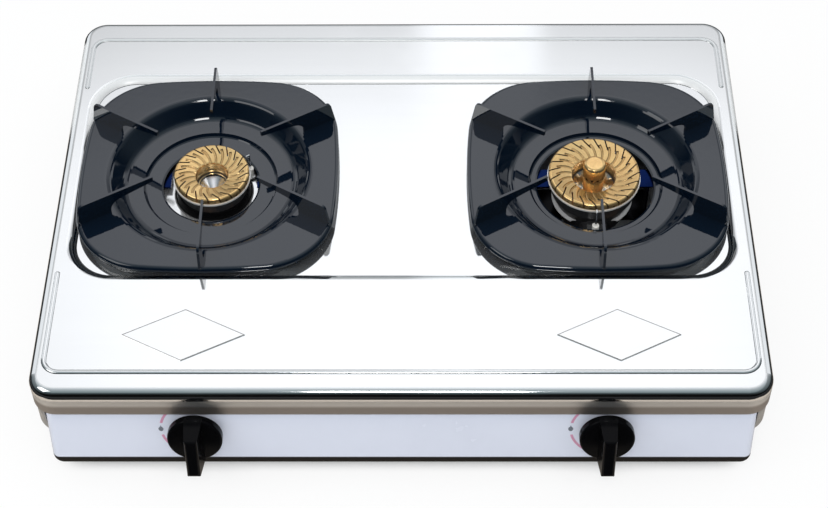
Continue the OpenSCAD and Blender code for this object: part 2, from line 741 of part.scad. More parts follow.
module burner_body(s) color([0.16, 0.16, 0.17]) difference() {
    inner = bore_r(s) - 1;
    bore_end = tube_len + burner_y - tube_end_y - bore_r(s) - 4;
    union() {
        on_burner(s*burner_x) rotate_extrude() head_section(s);
        on_tube(s*burner_x) rotate_extrude() polygon([[0, mouth_at], [mouth_r, mouth_at], [mouth_r, mouth_at + 14],
            [throat_r, mouth_at + 40], [throat_r, mouth_at + 60], [throat_r + 1.5, tube_len - 30],
            [throat_r + 1.5, tube_len], [0, tube_len]]);
        on_tube(s*burner_x) translate([0, 0, mouth_at - pivot_len]) cylinder(r = pivot_r, h = pivot_len);
        // lug that carries the spark electrode
        on_burner(s*burner_x) rotate([0, 0, spark_at(s)]) translate([0, 0, lug_top - lug_t]) {
            translate([ring_r(s) - 10, -lug_half, 0]) cube([spark_r(s) - ring_r(s) + 10, 2*lug_half, lug_t]);
            translate([spark_r(s), 0, 0]) cylinder(r = lug_half, h = lug_t);
        }
    }
    on_burner(s*burner_x) {
        rotate_extrude() chamber_section(s);
        translate([0, 0, -2*head_drop]) cylinder(r = inner, h = 3*head_drop);
        translate([0, 0, skirt_z]) cylinder(r = bore_r(s) + 4, h = head_drop);
        rotate([0, 0, spark_at(s)]) translate([spark_r(s), 0, -head_drop]) cylinder(r = ceramic_r + running, h = head_drop);
    }
    on_tube(s*burner_x) {
        rotate_extrude() polygon([[0, mouth_at + mouth_wall], [mouth_r - cast_wall, mouth_at + mouth_wall],
            [mouth_r - cast_wall, mouth_at + 13], [throat_r - cast_wall, mouth_at + 40],
            [throat_r - cast_wall, mouth_at + 60], [throat_r + 1.5 - cast_wall, tube_len - 30],
            [throat_r + 1.5 - cast_wall, bore_end], [0, bore_end]]);
        translate([0, 0, mouth_at - 2*pivot_len]) cylinder(r = tip_r + 1, h = 4*pivot_len);
        for (a = [45:90:315]) rotate([0, 0, a]) translate([window_at, 0, mouth_at - 1]) cylinder(r = window_r, h = 2*mouth_wall);
    }
}

module air_shutter(s) color("silver") on_tube(s*burner_x) translate([0, 0, mouth_at - slip - shutter_t]) difference() {
    union() {
        cylinder(r = shutter_r, h = shutter_t);
        translate([-3, -shutter_r - 5, 0]) cube([6, 10, shutter_t]);
    }
    translate([0, 0, -1]) cylinder(r = pivot_r + running, h = 2 + shutter_t);
    for (a = [45:90:315]) rotate([0, 0, a]) translate([window_at, 0, -1]) cylinder(r = window_r, h = 2 + shutter_t);
}

// Strap that carries the burner: hangs under the deck, its wings pass below the pan support
module burner_bracket(s) color("silver") difference() {
    on_burner(s*burner_x) {
        base_z = -head_drop - bracket_t;
        lip_z = -well_depth - sheet - bracket_t;
        translate([-bracket_half, -bracket_d/2, base_z]) cube([2*bracket_half, bracket_d/2 + wing_back, bracket_t]);
        for (m = [0, 1]) mirror([m, 0, 0]) translate([0, wing_front, 0]) {
            translate([bracket_half - bracket_t, 0, base_z]) cube([bracket_t, wing_back - wing_front, wing_z - base_z]);
            translate([wing_in, 0, wing_z - bracket_t]) cube([wing_half - wing_in, wing_back - wing_front, bracket_t]);
            translate([wing_half - bracket_t, 0, wing_z - bracket_t])
                cube([bracket_t, wing_back - wing_front, lip_z + 2*bracket_t - wing_z]);
            translate([wing_half - bracket_t, 0, lip_z]) cube([14, wing_back - wing_front, bracket_t]);
        }
    }
    translate([s*burner_x, burner_y, 0]) cylinder(r = 8, h = deck_z);
    on_tube(s*burner_x) cylinder(r = throat_r + 1.5 + slip, h = tube_len);
}

module seat_plate(s) color("silver") on_burner(s*burner_x) translate([0, 0, head_top]) difference() {
    cylinder(r = ring_r(s) + 0.6, h = seat_t);
    translate([0, 0, -1]) cylinder(r = ring_r(s) - 6, h = 2 + seat_t);
}

// Bright dish under the left ring: a cone, a wall and a flange, open for the electrode
module drip_dish_left() color("gainsboro") on_burner(-burner_x) difference() {
    wall = left_ring_r - 3 + running;
    rotate_extrude() polygon([[wall, dish_z + dish_h], [wall + 1.5, dish_z + dish_h], [wall + 3, dish_z + 2],
        [wall + 5, dish_z], [left_hole_r + 5, dish_z - 0.5], [left_hole_r + 5, dish_z - 1.5], [wall + 4.5, dish_z - 1],
        [wall + 2, dish_z + 1.5], [wall + 1, dish_z + dish_h - 1.5], [wall, dish_z + dish_h - 1.5]]);
    rotate([0, 0, left_spark]) translate([left_ring_r - 1, -lug_half - 2, -head_drop])
        cube([20, 2*lug_half + 4, head_drop + dish_z + dish_h - 0.2]);
    translate([-throat_r, -left_hole_r - 10, dish_z - 10]) cube([2*throat_r, 24, 8.8]);
}

// Bright funnel inside the left burner
module inner_cone_left() color("gainsboro") on_burner(-burner_x) {
    outer = left_bore_r - 1 - running;
    rotate_extrude() polygon([[outer, cone_top], [outer, cone_top - 3], [outer - 6, cone_top - 15],
        [outer - 7, cone_top - 15], [outer - 1, cone_top - 2.5], [outer - 1, cone_top]]);
}

module flange_ring_right() color("gainsboro") on_burner(burner_x) translate([0, 0, head_waist - 1.2]) difference() {
    cylinder(r = right_ring_r - 4.5, h = 1.2);
    translate([0, 0, -1]) cylinder(r = right_ring_r - 8 + running, h = 4);
    rotate([0, 0, right_spark]) translate([right_ring_r - 12, -20, -1]) cube([20, 40, 4]);
}

// Bright funnel inside the right burner, with the post that carries the centre cap
module inner_cone_right() color("gainsboro") on_burner(burner_x) {
    outer = right_bore_r - 1 - running;
    rotate_extrude() polygon([[0, -head_drop], [cap_r - 4, -head_drop], [cap_r - 4, cone_top - 13], [outer, cone_top - 1.5],
        [outer, cone_top], [cap_r - 3, cone_top - 11], [cap_r - 4.5, post_top], [0, post_top]]);
}

module ring_section(s) {
    r = ring_r(s);
    bore = bore_r(s);
    edge = ring_edge;
    inner_z = ring_inner_z(s);
    difference() {
        polygon([[bore, skirt_z], [bore, inner_z - 1.5], [bore + 0.5, inner_z - 0.5], [bore + 1.5, inner_z],
            [r - edge, ring_top], [r, ring_top], [r, ring_bottom + 1], [r - 1, ring_bottom], [r - 5, ring_bottom],
            [r - 6, ring_top - 4], [bore + 4, inner_z - 3.5], [bore + 3, skirt_z]]);
        translate([r - edge, ring_top - edge]) difference() {
            square(edge + 1);
            circle(edge);
        }
    }
}

module burner_ring(s) color([0.83, 0.63, 0.3]) on_burner(s*burner_x) difference() {
    r = ring_r(s);
    bore = bore_r(s);
    n = slits(s);
    slit_l = (r - bore)*slit_share;
    rotate_extrude() ring_section(s);
    for (i = [0:n - 1]) rotate([0, 0, 360*i/n]) {
        // slit in the outer half, open to the edge
        translate([r + 1, 0, 0]) rotate([0, 0, 180 + slit_lean]) translate([0, -slit_w/2, ring_top - 4.6])
            cube([slit_l + 1.5, slit_w, 8]);
        // shallow flute that leaves the hole radially and curls towards the slits
        rotate([0, 0, 180/n]) translate([bore, 0, ring_inner_z(s)]) rotate([0, -ring_slope, 0])
            translate([0, flute_curl, flute_r - flute_depth]) rotate([0, 0, -90])
                rotate_extrude(angle = 50) translate([flute_curl, 0]) circle(flute_r, $fn = 24);
        // flame port halfway between two slits
        rotate([0, 0, 180/n]) translate([r - 7, 0, ring_bottom + 2.2])
            rotate([0, 90, 0]) cylinder(r = 0.9, h = 9, $fn = 16);
    }
}

module centre_cap_right() color([0.83, 0.63, 0.3]) on_burner(burner_x) difference() {
    neck = cap_r - 1;
    rotate_extrude() {
        round_top(cap_r, cap_top, 3.5);
        polygon([[0, post_top], [neck - 1, post_top], [neck, post_top + 1], [neck, 1], [0, 1]]);
    }
    for (a = [15:30:345]) rotate([0, 0, a]) translate([cap_r - 3, 0, 3.5]) rotate([0, 90, 0]) cylinder(r = 1.1, h = 4, $fn = 16);
}

module ceramic(s) color("whitesmoke") on_burner(s*burner_x) rotate([0, 0, spark_at(s)])
    translate([spark_r(s), 0, 0]) difference() {
        union() {
            translate([0, 0, lug_top - 12]) cylinder(r = ceramic_r, h = 20);
            translate([0, 0, lug_top]) cylinder(r = ceramic_r + 1, h = 2);
        }
        translate([0, 0, -head_drop]) cylinder(r = rod_r + running, h = 2*head_drop);
    }

module spark_rod(s) color("silver") on_burner(s*burner_x) rotate([0, 0, spark_at(s)]) translate([spark_r(s), 0, 0]) {
    translate([0, 0, lug_top - 16]) cylinder(r = rod_r, h = ring_top - 3 - lug_top + 16);
    translate([0, 0, ring_top - 3]) sphere(rod_r);
    translate([0, 0, ring_top - 3]) rotate([0, -90, 0]) cylinder(r = rod_r, h = electrode_gap - 2);
}

module spark_clip(s) color("silver") on_burner(s*burner_x) rotate([0, 0, spark_at(s)])
    translate([spark_r(s), 0, lug_top + 2]) difference() {
        union() {
            translate([-lug_half, -lug_half, 0]) cube([2*lug_half, 2*lug_half, 1]);
            for (m = [0, 1]) mirror([0, m, 0]) translate([-lug_half, lug_half, -2 - lug_t/2]) cube([2*lug_half, 1, 3 + lug_t/2]);
        }
        translate([0, 0, -1]) cylinder(r = ceramic_r + running, h = 4);
    }

// PAN SUPPORTS

function hole_r(s) = s < 0 ? left_hole_r : right_hole_r;

// Corner circle centres, and the radius of the bowed side arcs that run tangent into the corner circles
corner_x = pan_w/2 - pan_corner - pan_bow;
corner_y = pan_d/2 - pan_corner - pan_bow;
function bow_r(across) = (across*across + pow(pan_corner + pan_bow, 2) - pan_corner*pan_corner)/(2*pan_bow);
side_bow = bow_r(corner_y);
front_bow = bow_r(corner_x);
side_centre = [pan_w/2 - side_bow, 0];
front_centre = [0, pan_d/2 - front_bow];
corner = [corner_x, corner_y];

// Sweeps a section along the outline: x is the distance outside a line that lies `inset` inside the outline.
// The arcs are parted on planes through the centres of both, where their sections match
module along_outline(inset) {
    to_side = 2*corner - side_centre;
    to_front = 2*corner - front_centre;
    module arc(centre, r, sector) intersection() {
        translate(concat(centre, 0)) rotate_extrude($fn = 256) translate([r - inset, 0]) children();
        translate([0, 0, -pan_w]) linear_extrude(2*pan_w) polygon(sector);
    }
    for (m = [0, 1]) {
        mirror([m, 0, 0]) arc(side_centre, side_bow, [side_centre, [to_side.x, -to_side.y], to_side]) children();
        mirror([0, m, 0]) arc(front_centre, front_bow, [front_centre, to_front, [-to_front.x, to_front.y]]) children();
    }
    for (mx = [0, 1], my = [0, 1]) mirror([mx, 0, 0]) mirror([0, my, 0])
        arc(corner, pan_corner, [corner, to_side, [to_side.x, to_front.y], to_front]) children();
}

// Flat of the rim: ends inside the swept edge, so it only has to follow the outline roughly
module rim_flat(inset) {
    to_side = corner + (corner - side_centre)*(pan_corner - inset)/(side_bow - pan_corner);
    to_front = corner + (corner - front_centre)*(pan_corner - inset)/(front_bow - pan_corner);
    for (mx = [0, 1], my = [0, 1]) mirror([mx, 0]) mirror([0, my]) {
        polygon([[0, 0], [pan_w/2 - inset, 0], to_side, to_front, [0, pan_d/2 - inset]]);
        translate(corner) circle(pan_corner - inset + 1);
    }
}

// Points of a bend that leaves a towards b and arrives at c
function bend(a, b, c) = [for (i = [0:5]) let (u = i/5) (1 - u)*(1 - u)*a + 2*u*(1 - u)*b + u*u*c];

// Upper line of the bowl, from the rim to the burner hole
function bowl_line(s) = let (
        wall = [bowl_floor_r - bowl_r, -bowl_depth]/norm([bowl_floor_r - bowl_r, bowl_depth]),
        lip = [bowl_r, 0], heel = [bowl_floor_r, -bowl_depth],
        low = -bowl_depth - bowl_step)
    concat([[bowl_r + 6, 0]], bend(lip + [bowl_bend, 0], lip, lip + bowl_bend*wall),
        bend(heel - bowl_bend*wall, heel, heel - [bowl_bend, 0]),
        [[bowl_step_r + 1, -bowl_depth], [bowl_step_r - 0.5, low + 0.6], [bowl_step_r - 1.5, low],
        [hole_r(s) + 1.5, low], [hole_r(s), low - 0.6]]);

// Turned-down edge of the rim: x runs out across the land, y = 0 is the top of the rim
module rim_section() {
    foot = well_depth + pan_rise;
    translate([0, -pan_sheet]) square([rim_land - pan_lip_r, pan_sheet]);
    translate([rim_land - pan_lip_r, -pan_lip_r]) intersection() {
        difference() {
            circle(pan_lip_r);
            circle(pan_lip_r - pan_sheet);
        }
        square(pan_lip_r);
    }
    polygon([[rim_land - pan_sheet, -pan_lip_r], [rim_land - pan_in - pan_sheet, -foot], [rim_land - pan_in, -foot],
        [rim_land, -pan_lip_r]]);
}

module pan(s) color([0.13, 0.14, 0.15]) on_pan(s) translate([0, 0, pan_rise]) {
    line = bowl_line(s);
    last = len(line) - 1;
    along_outline(rim_land) rim_section();
    difference() {
        translate([0, 0, -pan_sheet]) linear_extrude(pan_sheet) rim_flat(rim_land - 3);
        translate([0, 0, -1 - pan_sheet]) cylinder(r = bowl_r + 5, h = 2 + pan_sheet);
    }
    rotate_extrude($fn = 128) polygon(concat(line, [for (i = [last:-1:0]) line[i] + [0.6, -pan_sheet]]));
}

// Distance of the rim's edge from the middle of a pan support, at a blade of angle a
function rim_reach(a) = a % 180 == 90 ? pan_d/2 :
    let (p = corner*[cos(30), sin(30)]) p + sqrt(p*p + pan_corner*pan_corner - corner*corner);

// One blade seen from the side: x is the radius, y the height above the deck.
// Its foot stands on the flat of the rim and its toe follows the rounded edge
module blade_profile(edge) {
    reach = edge - blade_inset;
    toe = edge - 0.8;
    flat = edge - pan_lip_r;
    toe_z = pan_rise - pan_lip_r + sqrt(pan_lip_r*pan_lip_r - pow(toe - flat, 2)) + slip;
    arm = blade_top - 8.5;
    polygon(concat([[blade_tip_r, blade_top]],
        bend([reach - 5, blade_top], [reach, blade_top], [reach + 0.4, blade_top - 5]),
        [[toe, toe_z], [flat + 2, pan_rise + slip - 0.3], [flat, pan_rise], [blade_heel_r, pan_rise]],
        bend([blade_heel_r, pan_rise + 3], [blade_heel_r - 1, arm - 1], [blade_heel_r - 13, arm]),
        [[blade_tip_r, blade_top - blade_tip_h]]));
}

module blades(s) color([0.1, 0.1, 0.11]) on_pan(s) for (a = [30:60:330]) rotate([90, 0, a])
    linear_extrude(blade_t, center = true) blade_profile(rim_reach(a));

placed() top_plate();
placed() base_tray();
placed() front_panel();
placed() panel_screws();
placed() plate_screws();
placed() feet();
placed() foot_screws();
placed() gas_rail();
placed() inlet_pipe();
placed() inlet_nipple();
placed() inlet_nut();
placed() valve_screws();
placed() valve_body(-1);  // valve_body_left
placed() valve_body(1);  // valve_body_right
placed() valve_plug(-1);  // valve_plug_left
placed() valve_plug(1);  // valve_plug_right
placed() spindle(-1);  // spindle_left
placed() spindle(1);  // spindle_right
placed() spring(-1);  // spring_left
placed() spring(1);  // spring_right
placed() knob(-1);  // knob_left
placed() knob(1);  // knob_right
placed() injector(-1);  // injector_left
placed() injector(1);  // injector_right
placed() air_shutter(-1);  // air_shutter_left
placed() air_shutter(1);  // air_shutter_right
placed() piezo(-1);  // piezo_left
placed() piezo(1);  // piezo_right
placed() burner_body(-1);  // burner_body_left
placed() burner_body(1);  // burner_body_right
placed() burner_bracket(-1);  // burner_bracket_left
placed() burner_bracket(1);  // burner_bracket_right
placed() seat_plate(-1);  // seat_plate_left
placed() seat_plate(1);  // seat_plate_right
placed() drip_dish_left();
placed() flange_ring_right();
placed() inner_cone_left();
placed() inner_cone_right();
placed() burner_ring(-1);  // burner_ring_left
placed() burner_ring(1);  // burner_ring_right
placed() centre_cap_right();
placed() ceramic(-1);  // ceramic_left
placed() ceramic(1);  // ceramic_right
placed() spark_rod(-1);  // spark_rod_left
placed() spark_rod(1);  // spark_rod_right
placed() spark_clip(-1);  // spark_clip_left
placed() spark_clip(1);  // spark_clip_right
placed() pan(-1);  // pan_left
placed() pan(1);  // pan_right
placed() blades(-1);  // blades_left
placed() blades(1);  // blades_right
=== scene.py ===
import bpy
import json
import math
from mathutils import Matrix, Vector


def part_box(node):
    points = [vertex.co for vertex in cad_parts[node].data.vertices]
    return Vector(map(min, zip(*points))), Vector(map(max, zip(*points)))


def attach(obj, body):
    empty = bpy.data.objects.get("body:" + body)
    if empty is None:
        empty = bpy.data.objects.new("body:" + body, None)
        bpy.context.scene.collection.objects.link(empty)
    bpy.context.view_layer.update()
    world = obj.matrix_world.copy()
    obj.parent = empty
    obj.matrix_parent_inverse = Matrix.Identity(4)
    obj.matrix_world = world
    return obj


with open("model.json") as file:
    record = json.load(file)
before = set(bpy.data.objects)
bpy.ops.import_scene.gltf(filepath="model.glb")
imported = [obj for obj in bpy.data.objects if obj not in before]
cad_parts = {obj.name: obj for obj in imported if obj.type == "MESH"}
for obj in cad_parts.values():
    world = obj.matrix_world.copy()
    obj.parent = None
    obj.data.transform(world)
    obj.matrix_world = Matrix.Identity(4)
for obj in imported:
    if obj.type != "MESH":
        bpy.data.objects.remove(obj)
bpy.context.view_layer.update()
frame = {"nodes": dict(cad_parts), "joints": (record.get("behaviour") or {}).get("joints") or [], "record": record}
nodes = frame["nodes"]
scene = bpy.context.scene
print("frame loaded,", len(nodes), "nodes")

# where things are, read off the solids
deckRise = 0.028   # the deck above the plate's lowest edge
plateLow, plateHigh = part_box("top_plate")
plateMid = (plateLow + plateHigh)/2
deckZ = plateLow.z + deckRise
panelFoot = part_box("front_panel")[0].z
mouths = {}   # middle of each burner at deck height
for side in ("left", "right"):
    low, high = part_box("burner_ring_" + side)
    mouths[side] = Vector(((low.x + high.x)/2, (low.y + high.y)/2, deckZ))


# camera

cameraView = {
    "eye": (0.0241, -1.0466, 1.2095),   # from the middle of the plate, at deck height
    "down": 51.051, "swing": -0.813, "lean": -0.679,
    "lens": 80.026, "sensor": 36.0, "clip": (0.05, 30),
}


def aimCamera(view):
    down, swing, lean = (math.radians(view[k]) for k in ("down", "swing", "lean"))
    ahead = Vector((math.sin(swing)*math.cos(down), math.cos(swing)*math.cos(down), -math.sin(down)))
    right = Vector((math.cos(swing), -math.sin(swing), 0))
    up = right.cross(ahead)
    right, up = right*math.cos(lean) + up*math.sin(lean), up*math.cos(lean) - right*math.sin(lean)
    turn = Matrix((right, up, -ahead)).transposed().to_4x4()
    data = bpy.data.cameras.new("photoCamera")
    data.lens, data.sensor_width = view["lens"], view["sensor"]
    data.clip_start, data.clip_end = view["clip"]
    data.dof.use_dof = False
    eye = bpy.data.objects.new("photoCamera", data)
    eye.matrix_world = Matrix.Translation(Vector(view["eye"]) + Vector((plateMid.x, plateMid.y, deckZ))) @ turn
    scene.collection.objects.link(eye)
    scene.camera = eye


aimCamera(cameraView)
scene.view_settings.view_transform = "Standard"
print("camera aimed")


# small helpers for node trees

def put(tree, kind, at=(0, 0), **settings):
    node = tree.nodes.new(kind)
    node.location = at
    for key, value in settings.items():
        setattr(node, key, value)
    return node


def feed(tree, source, target):
    tree.links.new(source, target)


# a number or colour is set on the socket, anything else is linked to it
def give(tree, value, socket):
    if isinstance(value, tuple):
        socket.default_value = value + (1,) if socket.type == "RGBA" else value
    elif isinstance(value, (int, float)):
        socket.default_value = value
    else:
        feed(tree, value, socket)


def sums(tree, operation, first, second=None, at=(0, 0), clamp=False):
    node = put(tree, "ShaderNodeMath", at, operation=operation, use_clamp=clamp)
    for socket, value in zip(node.inputs, (first, second)):
        if value is not None:
            give(tree, value, socket)
    return node.outputs[0]


def times(tree, first, *others, at=(0, 0)):
    for other in others:
        first = sums(tree, "MULTIPLY", first, other, at)
    return first


def vectorOf(tree, operation, first, second=None, at=(0, 0)):
    node = put(tree, "ShaderNodeVectorMath", at, operation=operation)
    for socket, value in zip(node.inputs, (first, second)):
        if value is not None:
            give(tree, value, socket)
    return node.outputs


def spread(tree, value, low, high, toLow=0.0, toHigh=1.0, at=(0, 0)):
    node = put(tree, "ShaderNodeMapRange", at, interpolation_type="SMOOTHSTEP")
    feed(tree, value, node.inputs["Value"])
    for key, number in (("From Min", low), ("From Max", high), ("To Min", toLow), ("To Max", toHigh)):
        give(tree, number, node.inputs[key])
    return node.outputs["Result"]


def blendColour(tree, factor, first, second, at=(0, 0)):
    node = put(tree, "ShaderNodeMix", at, data_type="RGBA")
    for key, value in (("Factor", factor), ("A", first), ("B", second)):
        give(tree, value, node.inputs[key])
    return node.outputs["Result"]


def mixShaders(tree, factor, first, second, at=(0, 0)):
    node = put(tree, "ShaderNodeMixShader", at)
    for socket, source in zip(node.inputs, (factor, first, second)):
        feed(tree, source, socket)
    return node.outputs[0]


def noiseOf(tree, vector, scale, detail=3.0, rough=0.55, at=(0, 0)):
    node = put(tree, "ShaderNodeTexNoise", at)
    feed(tree, vector, node.inputs["Vector"])
    for key, number in (("Scale", scale), ("Detail", detail), ("Roughness", rough)):
        give(tree, number, node.inputs[key])
    return node.outputs["Fac"]


def cellsOf(tree, vector, scale, at=(0, 0)):
    node = put(tree, "ShaderNodeTexVoronoi", at)
    feed(tree, vector, node.inputs["Vector"])
    give(tree, scale, node.inputs["Scale"])
    return node.outputs


def newGroup(name, takes, gives):
    tree = bpy.data.node_groups.new(name, "ShaderNodeTree")
    for kind, label, value in takes:
        tree.interface.new_socket(label, in_out="INPUT", socket_type="NodeSocket" + kind).default_value = value
    for kind, label in gives:
        tree.interface.new_socket(label, in_out="OUTPUT", socket_type="NodeSocket" + kind)
    return tree, put(tree, "NodeGroupInput", (-900, 0)).outputs, put(tree, "NodeGroupOutput", (700, 0)).inputs


def piecePlace(tree, at=(-900, -300)):
    return put(tree, "ShaderNodeTexCoord", at).outputs["Object"]


def placeParts(tree, at=(-700, 450)):
    parts = put(tree, "ShaderNodeSeparateXYZ", at)
    feed(tree, piecePlace(tree, (at[0] - 200, at[1])), parts.inputs[0])
    return parts.outputs


def shifted(base, offsets):
    return [base + offset for offset in offsets]


# effects that several finishes share

def makeRolledGrain():
    tree, takes, gives = newGroup("rolledGrain",
        [("Vector", "Stretch", (12, 900, 900))], [("Float", "Height"), ("Float", "Streak")])
    drawn = vectorOf(tree, "MULTIPLY", piecePlace(tree), takes["Stretch"], (-700, -200))["Vector"]
    fine = noiseOf(tree, drawn, 1.0, 5, 0.65, (-480, 0))
    broad = noiseOf(tree, drawn, 0.12, 3, 0.5, (-480, -260))
    feed(tree, fine, gives["Height"])
    feed(tree, times(tree, fine, broad, at=(-200, -200)), gives["Streak"])
    return tree


def makeHandMarks():
    tree, takes, gives = newGroup("handMarks",
        [("Float", "Size", 18.0), ("Float", "Cover", 0.5)], [("Float", "Smear"), ("Float", "Speck")])
    place = piecePlace(tree)
    cloud = noiseOf(tree, place, takes["Size"], 4, 0.6, (-600, 100))
    wiped = noiseOf(tree, place, times(tree, takes["Size"], 6.0, at=(-780, -60)), 2, 0.5, (-600, -160))
    edge = sums(tree, "SUBTRACT", 1.0, takes["Cover"], (-600, 300))
    mask = spread(tree, cloud, times(tree, edge, 0.7, at=(-420, 300)), 0.85, at=(-240, 140))
    feed(tree, sums(tree, "MULTIPLY", mask, wiped, (0, 80), True), gives["Smear"])
    dots = cellsOf(tree, place, 420, (-600, -420))
    feed(tree, spread(tree, dots["Distance"], 0.05, 0.12, 1.0, 0.0, (-240, -420)), gives["Speck"])
    return tree


def makeEdgeRub():
    tree, takes, gives = newGroup("edgeRub",
        [("Float", "Reach", 0.0008), ("Float", "Amount", 1.0)], [("Float", "Rubbed")])
    soft = put(tree, "ShaderNodeBevel", (-700, 120), samples=4)
    feed(tree, takes["Reach"], soft.inputs["Radius"])
    plain = put(tree, "ShaderNodeNewGeometry", (-700, -60))
    facing = vectorOf(tree, "DOT_PRODUCT", soft.outputs["Normal"], plain.outputs["Normal"], (-500, 60))["Value"]
    turned = sums(tree, "SUBTRACT", 1.0, facing, (-320, 60))
    broken = noiseOf(tree, piecePlace(tree), 160, 4, 0.6, (-500, -260))
    worn = times(tree, spread(tree, turned, 0.02, 0.22, at=(-140, 60)),
        spread(tree, broken, 0.35, 0.65, at=(-140, -200)), at=(60, 0))
    feed(tree, sums(tree, "MULTIPLY", worn, takes["Amount"], (240, 0), True), gives["Rubbed"])
    return tree


def makeEnamelSkin():
    tree, takes, gives = newGroup("enamelSkin",
        [("Float", "Size", 220.0)], [("Float", "Height"), ("Float", "Fleck")])
    place = piecePlace(tree)
    feed(tree, noiseOf(tree, place, takes["Size"], 2, 0.4, (-500, 100)), gives["Height"])
    grains = cellsOf(tree, place, times(tree, takes["Size"], 4.0, at=(-700, -200)), (-500, -200))
    feed(tree, spread(tree, grains["Distance"], 0.06, 0.16, 1.0, 0.0, (-240, -200)), gives["Fleck"])
    return tree


def makeCastSkin():
    tree, takes, gives = newGroup("castSkin",
        [("Float", "Size", 500.0)], [("Float", "Height"), ("Float", "Patch")])
    place = piecePlace(tree)
    sand = noiseOf(tree, place, takes["Size"], 5, 0.7, (-500, 120))
    pits = cellsOf(tree, place, takes["Size"], (-500, -140))
    pitted = spread(tree, pits["Distance"], 0.0, 0.5, at=(-260, -140))
    feed(tree, times(tree, sand, pitted, at=(-60, 40)), gives["Height"])
    feed(tree, noiseOf(tree, place, 45, 4, 0.6, (-500, -400)), gives["Patch"])
    return tree


def makeTurnedRings():
    tree, takes, gives = newGroup("turnedRings",
        [("Vector", "Middle", (0, 0, 0)), ("Float", "Pitch", 2600.0)], [("Float", "Height")])
    off = vectorOf(tree, "SUBTRACT", piecePlace(tree), takes["Middle"], (-700, 0))["Vector"]
    flat = vectorOf(tree, "MULTIPLY", off, (1, 1, 0), (-540, 0))["Vector"]
    radius = vectorOf(tree, "LENGTH", flat, at=(-380, 0))["Value"]
    shake = noiseOf(tree, off, 60, 2, 0.5, (-540, -220))
    phase = sums(tree, "ADD", times(tree, radius, takes["Pitch"], at=(-200, 40)),
        times(tree, shake, 2.0, at=(-200, -160)), (-40, 0))
    feed(tree, sums(tree, "SINE", phase, at=(120, 0)), gives["Height"])
    return tree


def makeHeatTint():
    tree, takes, gives = newGroup("heatTint",
        [("Vector", "Middle", (0, 0, 0)), ("Float", "Near", 0.036), ("Float", "Far", 0.07)],
        [("Float", "Blued"), ("Float", "Straw")])
    place = piecePlace(tree)
    away = vectorOf(tree, "DISTANCE", place, takes["Middle"], (-700, 0))["Value"]
    cloud = noiseOf(tree, place, 70, 3, 0.6, (-700, -260))
    wavy = times(tree, sums(tree, "SUBTRACT", cloud, 0.5, (-520, -260)), 0.014, at=(-360, -260))
    reach = sums(tree, "ADD", away, wavy, (-200, 0))
    feed(tree, spread(tree, reach, takes["Near"], takes["Far"], 1.0, 0.0, (0, 120)), gives["Blued"])
    strawEnd = times(tree, takes["Far"], 1.35, at=(-200, -200))
    feed(tree, spread(tree, reach, takes["Far"], strawEnd, 1.0, 0.0, (0, -120)), gives["Straw"])
    return tree


# darkens hollows found by occlusion: painted shade
def makeCavityShade():
    tree, takes, gives = newGroup("cavityShade", [("Float", "Reach", 0.002), ("Float", "Amount", 1.0)], [("Float", "Deep")])
    hidden = put(tree, "ShaderNodeAmbientOcclusion", (-500, 0), samples=8, only_local=True)
    feed(tree, takes["Reach"], hidden.inputs["Distance"])
    covered = sums(tree, "SUBTRACT", 1.0, hidden.outputs["AO"], (-300, 0))
    feed(tree, sums(tree, "MULTIPLY", covered, takes["Amount"], (-100, 0), True), gives["Deep"])
    return tree


shared = {
    "rolledGrain": makeRolledGrain(), "handMarks": makeHandMarks(), "edgeRub": makeEdgeRub(),
    "enamelSkin": makeEnamelSkin(), "castSkin": makeCastSkin(), "turnedRings": makeTurnedRings(),
    "heatTint": makeHeatTint(), "cavityShade": makeCavityShade(),
}
print("shared effects made:", ", ".join(shared))


def useGroup(tree, name, at=(-800, 0), **values):
    node = put(tree, "ShaderNodeGroup", at)
    node.node_tree = shared[name]
    for key, value in values.items():
        node.inputs[key].default_value = value
    return node.outputs


def newFinish(name, **sockets):
    material = bpy.data.materials.new(name)
    material.use_nodes = True
    tree = material.node_tree
    shader = tree.nodes["Principled BSDF"]
    for key, value in sockets.items():
        give(tree, value, shader.inputs["IOR" if key == "ior" else key.replace("_", " ").title()])
    return material, tree, shader


def raiseSkin(tree, shader, height, depth, reach, at=(-250, -400)):
    bump = put(tree, "ShaderNodeBump", at)
    bump.inputs["Strength"].default_value = depth
    bump.inputs["Distance"].default_value = reach
    feed(tree, height, bump.inputs["Height"])
    feed(tree, bump.outputs["Normal"], shader.inputs["Normal"])


# finishes, one dictionary each

deckSteel = {
    # the hem colour is painted shade: the skirt's lower band darkened, standing for the shaded table it mirrors
    "colour": (0.93, 0.93, 0.925), "worn": (0.88, 0.88, 0.88), "hemShade": (0.47, 0.44, 0.42),
    "gloss": 0.06, "smeared": 0.12, "skirt": 0.45, "roll": 0.36, "beads": (0.12, 0.42),   # beads from front to rear
    "satin": 0.84, "sunk": 0.35, "pale": 0.75,   # how much the flat, the well's floor and the rear roll scatter
    "flatNormal": (0.985, 0.998),
    "hemShadeBand": (0.008, 0.013),   # above the plate's lowest edge
    "skirtBand": (-0.0105, -0.0085), "levelBand": (-0.003, -0.001), "beadBand": (0.0001, 0.0003),   # from the deck
    "rollTop": (-0.0008, -0.0001), "rollFoot": (-0.0048, -0.0044),   # from the deck
    "rollFront": (0.06, 0.09), "beadDepth": (-0.05, 0.1),   # behind the plate's middle
    "rollRear": (-0.03, -0.025),   # from the plate's rear edge
}


